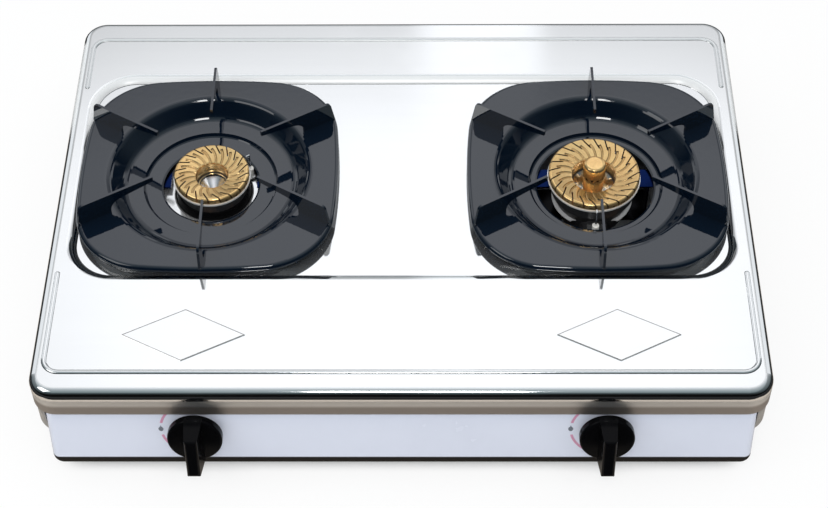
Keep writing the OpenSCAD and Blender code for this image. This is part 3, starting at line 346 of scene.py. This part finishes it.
def makeDeckSteel(spec):
    material, tree, shader = newFinish("deckSteel", metallic=1.0, roughness=spec["gloss"])
    grain = useGroup(tree, "rolledGrain", (-900, 200), Stretch=(14, 1100, 1100))
    marks = useGroup(tree, "handMarks", (-900, -100), Size=9.0, Cover=0.45)
    place = placeParts(tree, (-700, -300))
    y, z = place["Y"], place["Z"]
    # painted shade: the skirt's lower band is darkened in its colour
    hemShade = spread(tree, z, *shifted(plateLow.z, spec["hemShadeBand"]), 1.0, 0.0, (-500, 400))
    plain = blendColour(tree, grain["Streak"], spec["colour"], spec["worn"], (-400, 250))
    feed(tree, blendColour(tree, hemShade, plain, spec["hemShade"], (-200, 300)), shader.inputs["Base Color"])
    # the rolled rear edge of the well
    below = spread(tree, z, *shifted(deckZ, spec["rollTop"]), 1.0, 0.0, (-500, -500))
    above = spread(tree, z, *shifted(deckZ, spec["rollFoot"]), at=(-500, -700))
    behind = spread(tree, y, *shifted(plateMid.y, spec["rollFront"]), at=(-500, -900))
    inside = spread(tree, y, *shifted(plateHigh.y, spec["rollRear"]), 1.0, 0.0, (-500, -1100))
    rolled = times(tree, below, above, behind, inside, at=(-150, -500))
    # the flat of the sheet and that edge scatter a little, the other bends mirror
    facing = put(tree, "ShaderNodeSeparateXYZ", (-700, 700))
    feed(tree, put(tree, "ShaderNodeNewGeometry", (-900, 700)).outputs["Normal"], facing.inputs[0])
    flat = spread(tree, facing.outputs["Z"], *spec["flatNormal"], 0.0, 1 - spec["satin"], (-450, 700))
    level = spread(tree, z, *shifted(deckZ, spec["levelBand"]), spec["sunk"], 1.0, (-450, 900))
    scatter = sums(tree, "MAXIMUM", times(tree, flat, level, at=(-250, 800)),
        times(tree, rolled, spec["pale"], at=(-150, 700)), (-80, 900))
    feed(tree, sums(tree, "SUBTRACT", 1.0, scatter, (-80, 800)), shader.inputs["Metallic"])
    # skirt, rear edge of the well and beads are duller, the beads most of all at the rear
    smooth = spread(tree, marks["Smear"], 0.0, 0.6, spec["gloss"], spec["smeared"], (-400, -40))
    skirt = spread(tree, z, *shifted(deckZ, spec["skirtBand"]), spec["skirt"], 0.0, (-500, -300))
    bead = times(tree, spread(tree, z, *shifted(deckZ, spec["beadBand"]), at=(-500, -1300)),
        spread(tree, y, *shifted(plateMid.y, spec["beadDepth"]), *spec["beads"], (-500, -1500)), at=(-300, -1300))
    dull = smooth
    for rough in (skirt, times(tree, rolled, spec["roll"], at=(-150, -400)), bead):
        dull = sums(tree, "MAXIMUM", dull, rough, (-200, -100))
    feed(tree, dull, shader.inputs["Roughness"])
    raiseSkin(tree, shader, grain["Height"], 0.008, 0.0002)
    return material


panelEnamel = {
    "colour": (0.77, 0.80, 0.92), "shade": (0.73, 0.755, 0.875), "fleck": (0.6, 0.61, 0.66),
    "gloss": 0.16, "dull": 0.3, "coat": 0.4,
    # the foot colour is painted shadow: a dark band along the panel's lowest edge
    "foot": (0.009, 0.0055, 0.003), "footDull": 0.75, "footShadowBand": (0.0116, 0.0128),   # above the panel's lowest edge
}


def makePanelEnamel(spec):
    material, tree, shader = newFinish("panelEnamel", coat_roughness=0.08)
    skin = useGroup(tree, "enamelSkin", (-900, 100), Size=260.0)
    marks = useGroup(tree, "handMarks", (-900, -200), Size=14.0, Cover=0.5)
    tone = blendColour(tree, marks["Smear"], spec["colour"], spec["shade"], (-500, 260))
    flecked = blendColour(tree, times(tree, skin["Fleck"], 0.12, at=(-640, 100)), tone, spec["fleck"], (-300, 260))
    z = placeParts(tree)["Z"]
    # painted shadow along the panel's foot, uncoated and dull
    foot = spread(tree, z, *shifted(panelFoot, spec["footShadowBand"]), 1.0, 0.0, (-450, 450))
    feed(tree, blendColour(tree, foot, flecked, spec["foot"], (-100, 300)), shader.inputs["Base Color"])
    coated = sums(tree, "SUBTRACT", 1.0, foot, (-300, 500))
    feed(tree, times(tree, coated, spec["coat"], at=(-100, 500)), shader.inputs["Coat Weight"])
    smooth = spread(tree, marks["Smear"], 0.0, 0.6, spec["gloss"], spec["dull"], (-400, -60))
    dull = times(tree, foot, spec["footDull"], at=(-300, -200))
    feed(tree, sums(tree, "MAXIMUM", smooth, dull, (-150, -100)), shader.inputs["Roughness"])
    raiseSkin(tree, shader, skin["Height"], 0.04, 0.0006)
    return material


panEnamel = {"colour": (0.002, 0.006, 0.014), "fleck": (0.03, 0.032, 0.04), "gloss": 0.045, "smeared": 0.12}


def makePanEnamel(spec):
    material, tree, shader = newFinish("panEnamel", ior=1.75)
    skin = useGroup(tree, "enamelSkin", (-900, 100), Size=180.0)
    marks = useGroup(tree, "handMarks", (-900, -200), Size=16.0, Cover=0.4)
    rub = useGroup(tree, "edgeRub", (-900, 400), Reach=0.0007, Amount=0.35)
    dust = sums(tree, "MAXIMUM", times(tree, skin["Fleck"], 0.25, at=(-640, 100)), rub["Rubbed"], (-460, 200))
    feed(tree, blendColour(tree, dust, spec["colour"], spec["fleck"], (-260, 260)), shader.inputs["Base Color"])
    smooth = spread(tree, marks["Smear"], 0.05, 0.6, spec["gloss"], spec["smeared"], (-400, -60))
    feed(tree, smooth, shader.inputs["Roughness"])
    raiseSkin(tree, shader, skin["Height"], 0.03, 0.0008)
    return material


ringBrass = {
    "colour": (1.0, 0.68, 0.31), "pale": (0.99, 0.84, 0.55), "dark": (0.60, 0.28, 0.08), "grooveShade": (0.12, 0.045, 0.012),
    "gloss": 0.16, "dull": 0.3, "clean": 0.72,
}


def makeRingBrass(spec, side):
    material, tree, shader = newFinish("ringBrass_" + side, metallic=0.92)
    turned = useGroup(tree, "turnedRings", (-1000, 200), Middle=tuple(mouths[side]), Pitch=5200.0)
    rub = useGroup(tree, "edgeRub", (-1000, 450), Reach=0.0009, Amount=0.5)
    cast = useGroup(tree, "castSkin", (-1000, -100), Size=700.0)
    # the grooves and slits are darkened in their colour: painted shade
    grooveShade = useGroup(tree, "cavityShade", (-1000, 650), Reach=0.004, Amount=2.1)
    patch = spread(tree, cast["Patch"], 0.35, 0.7, at=(-700, -60))
    tone = blendColour(tree, patch, spec["colour"], spec["dark"], (-480, 60))
    light = blendColour(tree, spec["clean"], tone, spec["colour"], (-480, 260))
    bare = blendColour(tree, rub["Rubbed"], light, spec["pale"], (-260, 300))
    feed(tree, blendColour(tree, grooveShade["Deep"], bare, spec["grooveShade"], (-80, 340)), shader.inputs["Base Color"])
    smooth = spread(tree, cast["Patch"], 0.3, 0.75, spec["gloss"], spec["dull"], (-400, -160))
    feed(tree, smooth, shader.inputs["Roughness"])
    raiseSkin(tree, shader, turned["Height"], 0.1, 0.0001)
    return material


castMetals = {
    "fittingBrass": {"colour": (0.76, 0.55, 0.26), "dull": (0.48, 0.33, 0.15), "rubbed": (0.9, 0.72, 0.42),
        "gloss": 0.28, "rough": 0.5, "size": 600.0, "rub": 0.8, "depth": 0.05, "reach": 0.0003},
    "valveZinc": {"colour": (0.56, 0.56, 0.57), "dull": (0.40, 0.40, 0.41), "rubbed": (0.72, 0.72, 0.72),
        "gloss": 0.36, "rough": 0.55, "size": 520.0, "rub": 0.7, "depth": 0.12, "reach": 0.0004},
}


def makeCastMetal(name, spec):
    material, tree, shader = newFinish(name, metallic=1.0)
    cast = useGroup(tree, "castSkin", (-900, 0), Size=spec["size"])
    rub = useGroup(tree, "edgeRub", (-900, 300), Reach=0.0008, Amount=spec["rub"])
    patch = spread(tree, cast["Patch"], 0.35, 0.7, at=(-640, 0))
    tone = blendColour(tree, patch, spec["colour"], spec["dull"], (-420, 60))
    feed(tree, blendColour(tree, rub["Rubbed"], tone, spec["rubbed"], (-220, 200)), shader.inputs["Base Color"])
    smooth = spread(tree, cast["Patch"], 0.3, 0.75, spec["gloss"], spec["rough"], (-420, -200))
    feed(tree, smooth, shader.inputs["Roughness"])
    raiseSkin(tree, shader, cast["Height"], spec["depth"], spec["reach"])
    return material


traySheet = {"light": (0.62, 0.63, 0.64), "dark": (0.46, 0.47, 0.48), "gloss": 0.3, "dull": 0.5, "flakes": 110}


def makeTraySheet(spec):
    material, tree, shader = newFinish("traySheet", metallic=0.9)
    flakes = cellsOf(tree, piecePlace(tree, (-1150, 200)), spec["flakes"], (-900, 200))
    cell = put(tree, "ShaderNodeSeparateColor", (-700, 200))
    feed(tree, flakes["Color"], cell.inputs["Color"])
    marks = useGroup(tree, "handMarks", (-900, -100), Size=10.0, Cover=0.6)
    both = sums(tree, "ADD", cell.outputs["Red"], marks["Smear"], (-540, 100))
    mixed = sums(tree, "MULTIPLY", both, 0.6, (-400, 100), True)
    feed(tree, blendColour(tree, mixed, spec["light"], spec["dark"], (-220, 250)), shader.inputs["Base Color"])
    smooth = spread(tree, cell.outputs["Green"], 0.0, 1.0, spec["gloss"], spec["dull"], (-400, -160))
    feed(tree, smooth, shader.inputs["Roughness"])
    raiseSkin(tree, shader, flakes["Distance"], 0.02, 0.0004)
    return material


strapSteel = {
    "plain": (0.50, 0.51, 0.52), "blued": (0.004, 0.013, 0.07), "straw": (0.42, 0.30, 0.14), "darkened": (0.008, 0.008, 0.009),
    "gloss": 0.22, "dull": 0.4, "near": 0.058, "far": 0.072, "heart": -0.016,
    "lowDarkBand": (-0.030, -0.018),   # from the deck, as heart is
}


def makeStrapSteel(spec, side):
    material, tree, shader = newFinish("strapSteel_" + side, metallic=1.0)
    middle = mouths[side] + Vector((0, 0, spec["heart"]))
    heat = useGroup(tree, "heatTint", (-900, 200), Middle=tuple(middle), Near=spec["near"], Far=spec["far"])
    marks = useGroup(tree, "handMarks", (-900, -100), Size=30.0, Cover=0.5)
    strawed = blendColour(tree, heat["Straw"], spec["plain"], spec["straw"], (-420, 120))
    tinted = blendColour(tree, heat["Blued"], strawed, spec["blued"], (-220, 250))
    z = placeParts(tree)["Z"]
    # the bracket is darker towards the bottom, near black below the band
    low = spread(tree, z, *shifted(deckZ, spec["lowDarkBand"]), 1.0, 0.0, (-450, 450))
    feed(tree, blendColour(tree, low, tinted, spec["darkened"], (0, 300)), shader.inputs["Base Color"])
    smooth = spread(tree, marks["Smear"], 0.0, 0.6, spec["gloss"], spec["dull"], (-400, -120))
    feed(tree, smooth, shader.inputs["Roughness"])
    raiseSkin(tree, shader, marks["Smear"], 0.03, 0.0003)
    return material


brightPlates = {
    "brightPlate": {"colour": (0.84, 0.84, 0.85), "darkened": (0.34, 0.32, 0.30), "gloss": 0.14, "dull": 0.3, "metal": 1.0},
    "dripDish": {"colour": (0.95, 0.95, 0.95), "darkened": (0.50, 0.48, 0.46), "gloss": 0.12, "dull": 0.26, "metal": 0.8,
        # the collar colour is painted shade
        "collarShade": (0.018, 0.018, 0.02), "collarShadeBand": (0.0018, 0.003)},   # above the dish's foot
    "paleRim": {"colour": (0.95, 0.95, 0.95), "darkened": (0.62, 0.60, 0.58), "gloss": 0.16, "dull": 0.3, "metal": 0.4},
}


def makeBrightPlate(name, foot=None):
    spec = brightPlates[name]
    material, tree, shader = newFinish(name, metallic=spec["metal"])
    marks = useGroup(tree, "handMarks", (-900, 0), Size=40.0, Cover=0.5)
    grain = useGroup(tree, "rolledGrain", (-900, 250), Stretch=(500, 500, 60))
    soot = times(tree, marks["Smear"], 0.7, at=(-560, 60))
    tone = blendColour(tree, soot, spec["colour"], spec["darkened"], (-300, 250))
    if foot is not None:
        # the dish's collar is painted black, a painted shade; its flat rim stays bright
        collarShade = spread(tree, placeParts(tree)["Z"], *shifted(foot, spec["collarShadeBand"]), at=(-600, 500))
        tone = blendColour(tree, collarShade, tone, spec["collarShade"], (-150, 350))
    feed(tree, tone, shader.inputs["Base Color"])
    smooth = spread(tree, marks["Smear"], 0.0, 0.5, spec["gloss"], spec["dull"], (-400, -120))
    feed(tree, smooth, shader.inputs["Roughness"])
    raiseSkin(tree, shader, grain["Height"], 0.02, 0.0002)
    return material


headIron = {
    "colour": (0.022, 0.022, 0.024), "rust": (0.10, 0.055, 0.03), "rubbed": (0.12, 0.12, 0.125), "gloss": 0.5, "dull": 0.78,
}


def makeHeadIron(spec):
    material, tree, shader = newFinish("headIron")
    cast = useGroup(tree, "castSkin", (-900, 0), Size=420.0)
    rub = useGroup(tree, "edgeRub", (-900, 300), Reach=0.001, Amount=0.5)
    warm = times(tree, spread(tree, cast["Patch"], 0.5, 0.75, at=(-640, 0)), 0.4, at=(-460, 0))
    tone = blendColour(tree, warm, spec["colour"], spec["rust"], (-280, 80))
    feed(tree, blendColour(tree, rub["Rubbed"], tone, spec["rubbed"], (-120, 240)), shader.inputs["Base Color"])
    smooth = spread(tree, cast["Height"], 0.0, 0.5, spec["dull"], spec["gloss"], (-420, -200))
    feed(tree, smooth, shader.inputs["Roughness"])
    raiseSkin(tree, shader, cast["Height"], 0.35, 0.0006)
    return material


knobPlastic = {"colour": (0.0025, 0.0025, 0.003), "dusty": (0.016, 0.016, 0.016), "gloss": 0.1, "dull": 0.2}


def makeKnobPlastic(spec):
    material, tree, shader = newFinish("knobPlastic", ior=1.16)
    marks = useGroup(tree, "handMarks", (-900, 0), Size=60.0, Cover=0.45)
    rub = useGroup(tree, "edgeRub", (-900, 300), Reach=0.0006, Amount=0.5)
    dust = sums(tree, "MAXIMUM", times(tree, marks["Speck"], 0.3, at=(-620, 60)), rub["Rubbed"], (-440, 140))
    feed(tree, blendColour(tree, dust, spec["colour"], spec["dusty"], (-240, 240)), shader.inputs["Base Color"])
    smooth = spread(tree, marks["Smear"], 0.0, 0.5, spec["gloss"], spec["dull"], (-400, -120))
    feed(tree, smooth, shader.inputs["Roughness"])
    raiseSkin(tree, shader, marks["Smear"], 0.02, 0.0004)
    return material


dullMouldings = {
    "piezoGrey": {"colour": (0.085, 0.085, 0.09), "other": (0.06, 0.06, 0.065),
        "gloss": 0.45, "size": 700.0, "depth": 0.1},
    "footRubber": {"colour": (0.022, 0.022, 0.022), "other": (0.05, 0.048, 0.045),
        "gloss": 0.68, "size": 900.0, "depth": 0.2},
    "sparkCeramic": {"colour": (0.84, 0.82, 0.77), "other": (0.66, 0.60, 0.52),
        "gloss": 0.2, "size": 300.0, "depth": 0.04},
}


def makeMoulding(name, spec):
    material, tree, shader = newFinish(name)
    skin = useGroup(tree, "castSkin", (-900, 0), Size=spec["size"])
    rub = useGroup(tree, "edgeRub", (-900, 300), Reach=0.0008, Amount=0.5)
    patch = sums(tree, "MAXIMUM", spread(tree, skin["Patch"], 0.5, 0.8, at=(-640, 0)), rub["Rubbed"], (-460, 100))
    feed(tree, blendColour(tree, patch, spec["colour"], spec["other"], (-260, 220)), shader.inputs["Base Color"])
    smooth = spread(tree, skin["Patch"], 0.3, 0.7, spec["gloss"], spec["gloss"] + 0.15, (-420, -200))
    feed(tree, smooth, shader.inputs["Roughness"])
    raiseSkin(tree, shader, skin["Height"], spec["depth"], 0.0005)
    return material


finishes = {
    "steel": makeDeckSteel(deckSteel), "enamel_white": makePanelEnamel(panelEnamel),
    "enamel_black": makePanEnamel(panEnamel), "galvanised": makeTraySheet(traySheet), "iron": makeHeadIron(headIron),
    "knob_black": makeKnobPlastic(knobPlastic), "bright": makeBrightPlate("brightPlate"),
}
for slot, name in (("brass", "fittingBrass"), ("zinc_cast", "valveZinc")):
    finishes[slot] = makeCastMetal(name, castMetals[name])
for slot, name in (("piezo_grey", "piezoGrey"), ("rubber", "footRubber"), ("ceramic_white", "sparkCeramic")):
    finishes[slot] = makeMoulding(name, dullMouldings[name])

# nodes that differ from the rest of their slot
ownFinish = {"drip_dish_left": makeBrightPlate("dripDish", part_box("drip_dish_left")[0].z)}
for side in ("left", "right"):
    ownFinish["burner_ring_" + side] = makeRingBrass(ringBrass, side)
    ownFinish["burner_bracket_" + side] = makeStrapSteel(strapSteel, side)
ownFinish["centre_cap_right"] = ownFinish["burner_ring_right"]
paleRim = makeBrightPlate("paleRim")
for name in ("seat_plate_left", "seat_plate_right", "flange_ring_right"):
    ownFinish[name] = paleRim

slotOf = {row["node"]: row["material_slot"] for row in frame["record"]["subparts"]}
for name, piece in nodes.items():
    piece.data.materials.clear()
    piece.data.materials.append(ownFinish.get(name) or finishes[slotOf[name]])
print("finishes given to", len(nodes), "nodes")


# printed marks beside each knob: two arcs and a small flame between them

dialMarks = {
    "radius": 0.0288, "wide": 0.0022, "arcs": ((100, 167), (194, 236)), "arcSteps": 28,
    "flameAt": 180, "flameTall": 0.0058, "flameHalf": 0.36, "flameTaper": 0.75, "flameTip": 0.12, "flameSteps": 24,
    "high": 0.0001, "lift": 0.00002,   # thickness, and clear of the panel
    "red": (0.68, 0.30, 0.45), "grey": (0.16, 0.18, 0.22), "thin": (0.72, 0.70, 0.74),
}


def makePrint(name, colour, thinColour):
    material, tree, shader = newFinish(name)
    skin = useGroup(tree, "castSkin", (-900, 0), Size=1500.0)
    thin = spread(tree, skin["Height"], 0.05, 0.4, 0.35, 0.0, (-560, 0))
    feed(tree, blendColour(tree, thin, colour, thinColour, (-300, 160)), shader.inputs["Base Color"])
    feed(tree, spread(tree, skin["Patch"], 0.3, 0.7, 0.3, 0.45, (-400, -160)), shader.inputs["Roughness"])
    return material


def flatPiece(name, loops, height, toWorld, material):
    points, faces = [], []
    for loop in loops:
        start, n = len(points), len(loop)
        for z in (0, height):
            points += [toWorld @ Vector((x, y, z)) for x, y in loop]
        faces.append([start + n + k for k in range(n)])
        faces += [[start + k, start + (k + 1) % n, start + n + (k + 1) % n, start + n + k] for k in range(n)]
    mesh = bpy.data.meshes.new(name)
    mesh.from_pydata(points, [], faces)
    mesh.materials.append(material)
    piece = bpy.data.objects.new(name, mesh)
    scene.collection.objects.link(piece)
    return piece


def arcLoop(spec, fromDeg, toDeg):
    steps = spec["arcSteps"]
    turn = [math.radians(fromDeg + (toDeg - fromDeg)*k/steps) for k in range(steps + 1)]
    outer, inner = spec["radius"] + spec["wide"]/2, spec["radius"] - spec["wide"]/2
    return [(outer*math.cos(a), outer*math.sin(a)) for a in turn] + \
        [(inner*math.cos(a), inner*math.sin(a)) for a in reversed(turn)]


def flameLoop(spec):
    at, tall = math.radians(spec["flameAt"]), spec["flameTall"]
    middle = (spec["radius"]*math.cos(at), spec["radius"]*math.sin(at))
    loop = []
    for k in range(spec["flameSteps"]):
        a = 2*math.pi*k/spec["flameSteps"]
        narrow = spec["flameHalf"]*(1 - spec["flameTaper"]*max(0.0, math.sin(a))**1.5)
        tip = spec["flameTip"] if math.sin(a) > 0.9 else 0
        loop.append((middle[0] + tall*narrow*math.cos(a), middle[1] + tall*(0.5*math.sin(a) + tip)))
    return loop


def printDials(spec):
    red, grey = (makePrint(name, spec[key], spec["thin"]) for name, key in (("dialRed", "red"), ("dialGrey", "grey")))
    arcLoops = [arcLoop(spec, a, b) for a, b in spec["arcs"]]
    for joint in frame["joints"]:
        if not joint["name"].startswith("knob_turn"):
            continue
        side = joint["name"].split("_")[-1]
        outward = Vector(joint["axis"]).normalized()
        acrossPanel = Vector((1, 0, 0))
        upPanel = outward.cross(acrossPanel)
        turn = Matrix((acrossPanel, upPanel, outward)).transposed().to_4x4()
        toWorld = Matrix.Translation(Vector(joint["pos_m"]) + outward*spec["lift"]) @ turn
        arcs = flatPiece("dial_arcs_" + side, arcLoops, spec["high"], toWorld, red)
        flame = flatPiece("dial_flame_" + side, [flameLoop(spec)], spec["high"], toWorld, grey)
        for piece in (arcs, flame):
            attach(piece, "body")


printDials(dialMarks)
print("dial marks printed")


# pressed outline of each diamond on the deck, drawn as dark lines of painted shade

diamondShadeLines = {
    "apart": 0.178, "back": -0.154, "wide": 0.101, "deep": 0.052,
    "line": 0.00055, "slant": 1.2, "high": 0.00046, "thick": 0.00022,   # high is the line's foot, from the deck
    # the lines' colour is painted shade along the pressed edges
    "colour": (0.22, 0.20, 0.18), "smeared": (0.6, 0.59, 0.58),
}


def paintDiamondShade(spec):
    material, tree, shader = newFinish("diamondShadeLine", metallic=1.0, roughness=0.35)
    marks = useGroup(tree, "handMarks", (-900, 0), Size=40.0, Cover=0.7)
    tone = blendColour(tree, marks["Smear"], spec["colour"], spec["smeared"], (-300, 160))
    feed(tree, tone, shader.inputs["Base Color"])
    w, d = spec["wide"]/2, spec["deep"]/2
    inner = 1 - spec["line"]*spec["slant"]/d
    corners = [(-w, 0), (0, -d), (w, 0), (0, d)]
    loops = []
    for (ax, ay), (bx, by) in zip(corners, corners[1:] + corners[:1]):
        loops.append([(ax, ay), (bx, by), (bx*inner, by*inner), (ax*inner, ay*inner)])
    for side, m in (("left", -1), ("right", 1)):
        toWorld = Matrix.Translation((plateMid.x + m*spec["apart"], plateMid.y + spec["back"], deckZ + spec["high"]))
        piece = flatPiece("diamond_shade_line_" + side, loops, spec["thick"], toWorld, material)
        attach(piece, "body")


paintDiamondShade(diamondShadeLines)
print("diamonds lined")


# floor, sky and lamps

def roundCard(spec, name, material):
    turn = [math.tau*k/spec["sides"] for k in range(spec["sides"])]
    rim = [(spec["radius"]*math.cos(a), spec["radius"]*math.sin(a), spec["high"]) for a in turn]
    mesh = bpy.data.meshes.new(name)
    mesh.from_pydata(rim, [], [list(range(len(rim)))])
    mesh.materials.append(material)
    card = bpy.data.objects.new(name, mesh)
    scene.collection.objects.link(card)
    return card


def plainlySeen(tree, path):
    return sums(tree, "MAXIMUM", path.outputs["Is Camera Ray"], path.outputs["Is Transmission Ray"], (-200, 300))


stageFloor = {
    "radius": 4.0, "sides": 64, "high": 0.0, "colour": (0.94, 0.935, 0.93),
    "lift": 0.86, "reach": 0.05, "shade": (0.0, 0.6),   # whitened where it is seen, but for the shade round the feet
}


def layFloor(spec):
    material, tree, shader = newFinish("stageFloor", base_color=spec["colour"], roughness=0.75)
    white = put(tree, "ShaderNodeEmission", (50, -200))
    seen = times(tree, plainlySeen(tree, put(tree, "ShaderNodeLightPath", (-400, 300))), spec["lift"], at=(0, 300))
    near = put(tree, "ShaderNodeAmbientOcclusion", (-400, 500), samples=8)
    near.inputs["Distance"].default_value = spec["reach"]
    lifted = times(tree, seen, spread(tree, near.outputs["AO"], *spec["shade"], at=(0, 500)), at=(150, 400))
    mixed = mixShaders(tree, lifted, shader.outputs[0], white.outputs[0], (300, 100))
    feed(tree, mixed, tree.nodes["Material Output"].inputs["Surface"])
    floor = roundCard(spec, "stageFloor", material)


tableTop = {   # only mirrored in the bright metal
    "radius": 4.0, "sides": 64, "high": 0.0004, "colour": (0.58, 0.505, 0.43), "dark": (0.45, 0.385, 0.32),
    "reach": 0.082, "fade": 0.093, "beyond": (0.003, 0.003, 0.003),   # black further out from the plate
}


def layTable(spec):
    material, tree, shader = newFinish("tableTop", roughness=0.8)
    grain = useGroup(tree, "rolledGrain", (-900, 0), Stretch=(3, 40, 40))
    place = placeParts(tree, (-900, 400))
    off = []
    for axis, middle, edge in (("X", plateMid.x, plateHigh.x), ("Y", plateMid.y, plateHigh.y)):
        away = sums(tree, "ABSOLUTE", sums(tree, "SUBTRACT", place[axis], middle, (-700, 400)), at=(-560, 400))
        off.append(sums(tree, "SUBTRACT", away, edge - middle, (-420, 400)))
    apart = sums(tree, "MAXIMUM", *off, (-280, 400))
    beyond = spread(tree, apart, spec["reach"], spec["fade"], at=(-140, 400))
    tone = blendColour(tree, grain["Streak"], spec["colour"], spec["dark"], (-300, 200))
    feed(tree, blendColour(tree, beyond, tone, spec["beyond"], (-100, 200)), shader.inputs["Base Color"])
    table = roundCard(spec, "tableTop", material)
    table.visible_camera = table.visible_diffuse = table.visible_shadow = table.visible_transmission = False


studioSky = {
    "bands": ((0.0, (0.30, 0.26, 0.22)), (0.499, (0.16, 0.13, 0.11)), (0.502, (0.008, 0.008, 0.009)),
        (0.545, (0.010, 0.012, 0.012)), (0.60, (0.20, 0.26, 0.26)), (0.70, (0.46, 0.52, 0.52)),
        (0.79, (0.76, 0.80, 0.83)), (0.848, (0.86, 0.90, 0.95)), (0.874, (1.24, 1.25, 1.27)), (1.0, (1.27, 1.27, 1.27))),
    # what shiny things see: dark in front, a large white panel above the rear, brightest along its middle
    "mirrored": ((0.0, (0.003, 0.003, 0.003)), (0.21, (0.012, 0.013, 0.013)), (0.31, (0.06, 0.08, 0.085)),
        (0.45, (0.17, 0.22, 0.24)), (0.60, (0.27, 0.33, 0.35)), (0.76, (0.42, 0.48, 0.51)),
        (0.865, (0.62, 0.68, 0.72)), (0.93, (1.00, 1.03, 1.06)), (0.95, (1.10, 1.13, 1.18))),
    "span": 2.5,   # of height plus depth, over which these run
    "low": (0.02, 0.28), "rearDepth": (0.35, 0.7), "rearHeight": (0.02, 0.12),   # dark near the horizon, less so behind
    "step": (0.67, 0.745), "stepDim": 0.55, "stripeIn": (-0.03, 0.005), "stripeOut": (0.05, 0.08),   # dimmer low down
    "sides": (0.13, 0.24), "sideDim": 0.85,
    "wingWide": (0.30, 0.55), "wingDepth": (0.44, 0.58), "wingHeight": (-0.02, 0.06), "wing": (0.84, 0.88, 0.92),
}


def fillRamp(tree, bands, value, at):
    ramp = put(tree, "ShaderNodeValToRGB", at)
    feed(tree, value, ramp.inputs[0])
    stops = ramp.color_ramp.elements
    while len(stops) < len(bands):
        stops.new(0.5)
    for stop, (place, colour) in zip(stops, bands):
        stop.position = place
        stop.color = colour + (1,)
    return ramp.outputs["Color"]


def hangSky(spec):
    world = bpy.data.worlds.new("studioSky")
    scene.world = world
    world.use_nodes = True
    tree = world.node_tree
    parts = put(tree, "ShaderNodeSeparateXYZ", (-1100, 0))
    feed(tree, put(tree, "ShaderNodeTexCoord", (-1300, 0)).outputs["Generated"], parts.inputs[0])
    x, y, z = (parts.outputs[axis] for axis in "XYZ")
    aside = sums(tree, "ABSOLUTE", x, at=(-900, -1700))
    # what lights the dull surfaces
    sky = tree.nodes["Background"]
    height = sums(tree, "ADD", times(tree, z, 0.5, at=(-620, 0)), 0.5, (-460, 0))
    feed(tree, fillRamp(tree, spec["bands"], height, (-300, 0)), sky.inputs["Color"])
    # what is mirrored, its colour first
    mirrored = put(tree, "ShaderNodeBackground", (0, -400))
    leant = sums(tree, "ADD", sums(tree, "ADD", z, y, (-460, -300)), 1.0, (-300, -300))
    panel = fillRamp(tree, spec["mirrored"], sums(tree, "DIVIDE", leant, spec["span"], (-160, -300)), (-300, -450))
    wing = times(tree, spread(tree, aside, *spec["wingWide"], at=(-700, -1700)),
        spread(tree, y, *spec["wingDepth"], at=(-700, -1900)),
        spread(tree, z, *spec["wingHeight"], at=(-700, -2100)), at=(-300, -1700))
    feed(tree, blendColour(tree, wing, panel, spec["wing"], (-100, -450)), mirrored.inputs["Color"])
    # and its strength
    stripe = times(tree, spread(tree, x, *spec["stripeIn"], at=(-700, -1100)),
        spread(tree, x, *spec["stripeOut"], 1.0, 0.0, (-700, -1300)), at=(-500, -1100))
    lowest = sums(tree, "MAXIMUM", stripe, spec["stepDim"], (-400, -1000))
    falls = spread(tree, z, *spec["step"], lowest, 1.0, (-300, -900))
    dimmed = spread(tree, aside, *spec["sides"], 1.0, spec["sideDim"], (-300, -1500))
    behind = times(tree, spread(tree, y, *spec["rearDepth"], at=(-700, -500)),
        spread(tree, z, *spec["rearHeight"], at=(-700, -700)), at=(-500, -600))
    opened = sums(tree, "MAXIMUM", spread(tree, z, *spec["low"], at=(-300, -700)), behind, (-200, -600))
    clear = times(tree, opened, times(tree, falls, dimmed, at=(-120, -900)), at=(0, -700))
    feed(tree, sums(tree, "MAXIMUM", clear, wing, (100, -700)), mirrored.inputs["Strength"])
    # plain white where the sky itself is seen
    white = put(tree, "ShaderNodeBackground", (0, -200))
    white.inputs["Color"].default_value = (1, 1, 1, 1)
    path = put(tree, "ShaderNodeLightPath", (-400, 300))
    lit = mixShaders(tree, path.outputs["Is Glossy Ray"], sky.outputs[0], mirrored.outputs[0], (120, -100))
    mixed = mixShaders(tree, plainlySeen(tree, path), lit, white.outputs[0], (250, 0))
    feed(tree, mixed, tree.nodes["World Output"].inputs["Surface"])


lampAim = Vector((0, 0, 0.09))
lamps = {
    "softBox": {"at": (0.0, -1.0, 1.6), "size": 0.36, "watts": 4.5},
    "sideBox": {"at": (-1.3, -0.6, 1.5), "size": 0.9, "watts": 4.0},
}


def hangLamps(specs):
    for name, spec in specs.items():
        data = bpy.data.lights.new(name, "AREA")
        data.size, data.energy = spec["size"], spec["watts"]
        lamp = bpy.data.objects.new(name, data)
        lamp.location = spec["at"]
        lamp.rotation_euler = (lampAim - Vector(spec["at"])).to_track_quat("-Z", "Y").to_euler()
        scene.collection.objects.link(lamp)


layFloor(stageFloor)
layTable(tableTop)
hangSky(studioSky)
hangLamps(lamps)
print("floor, sky and lamps set")
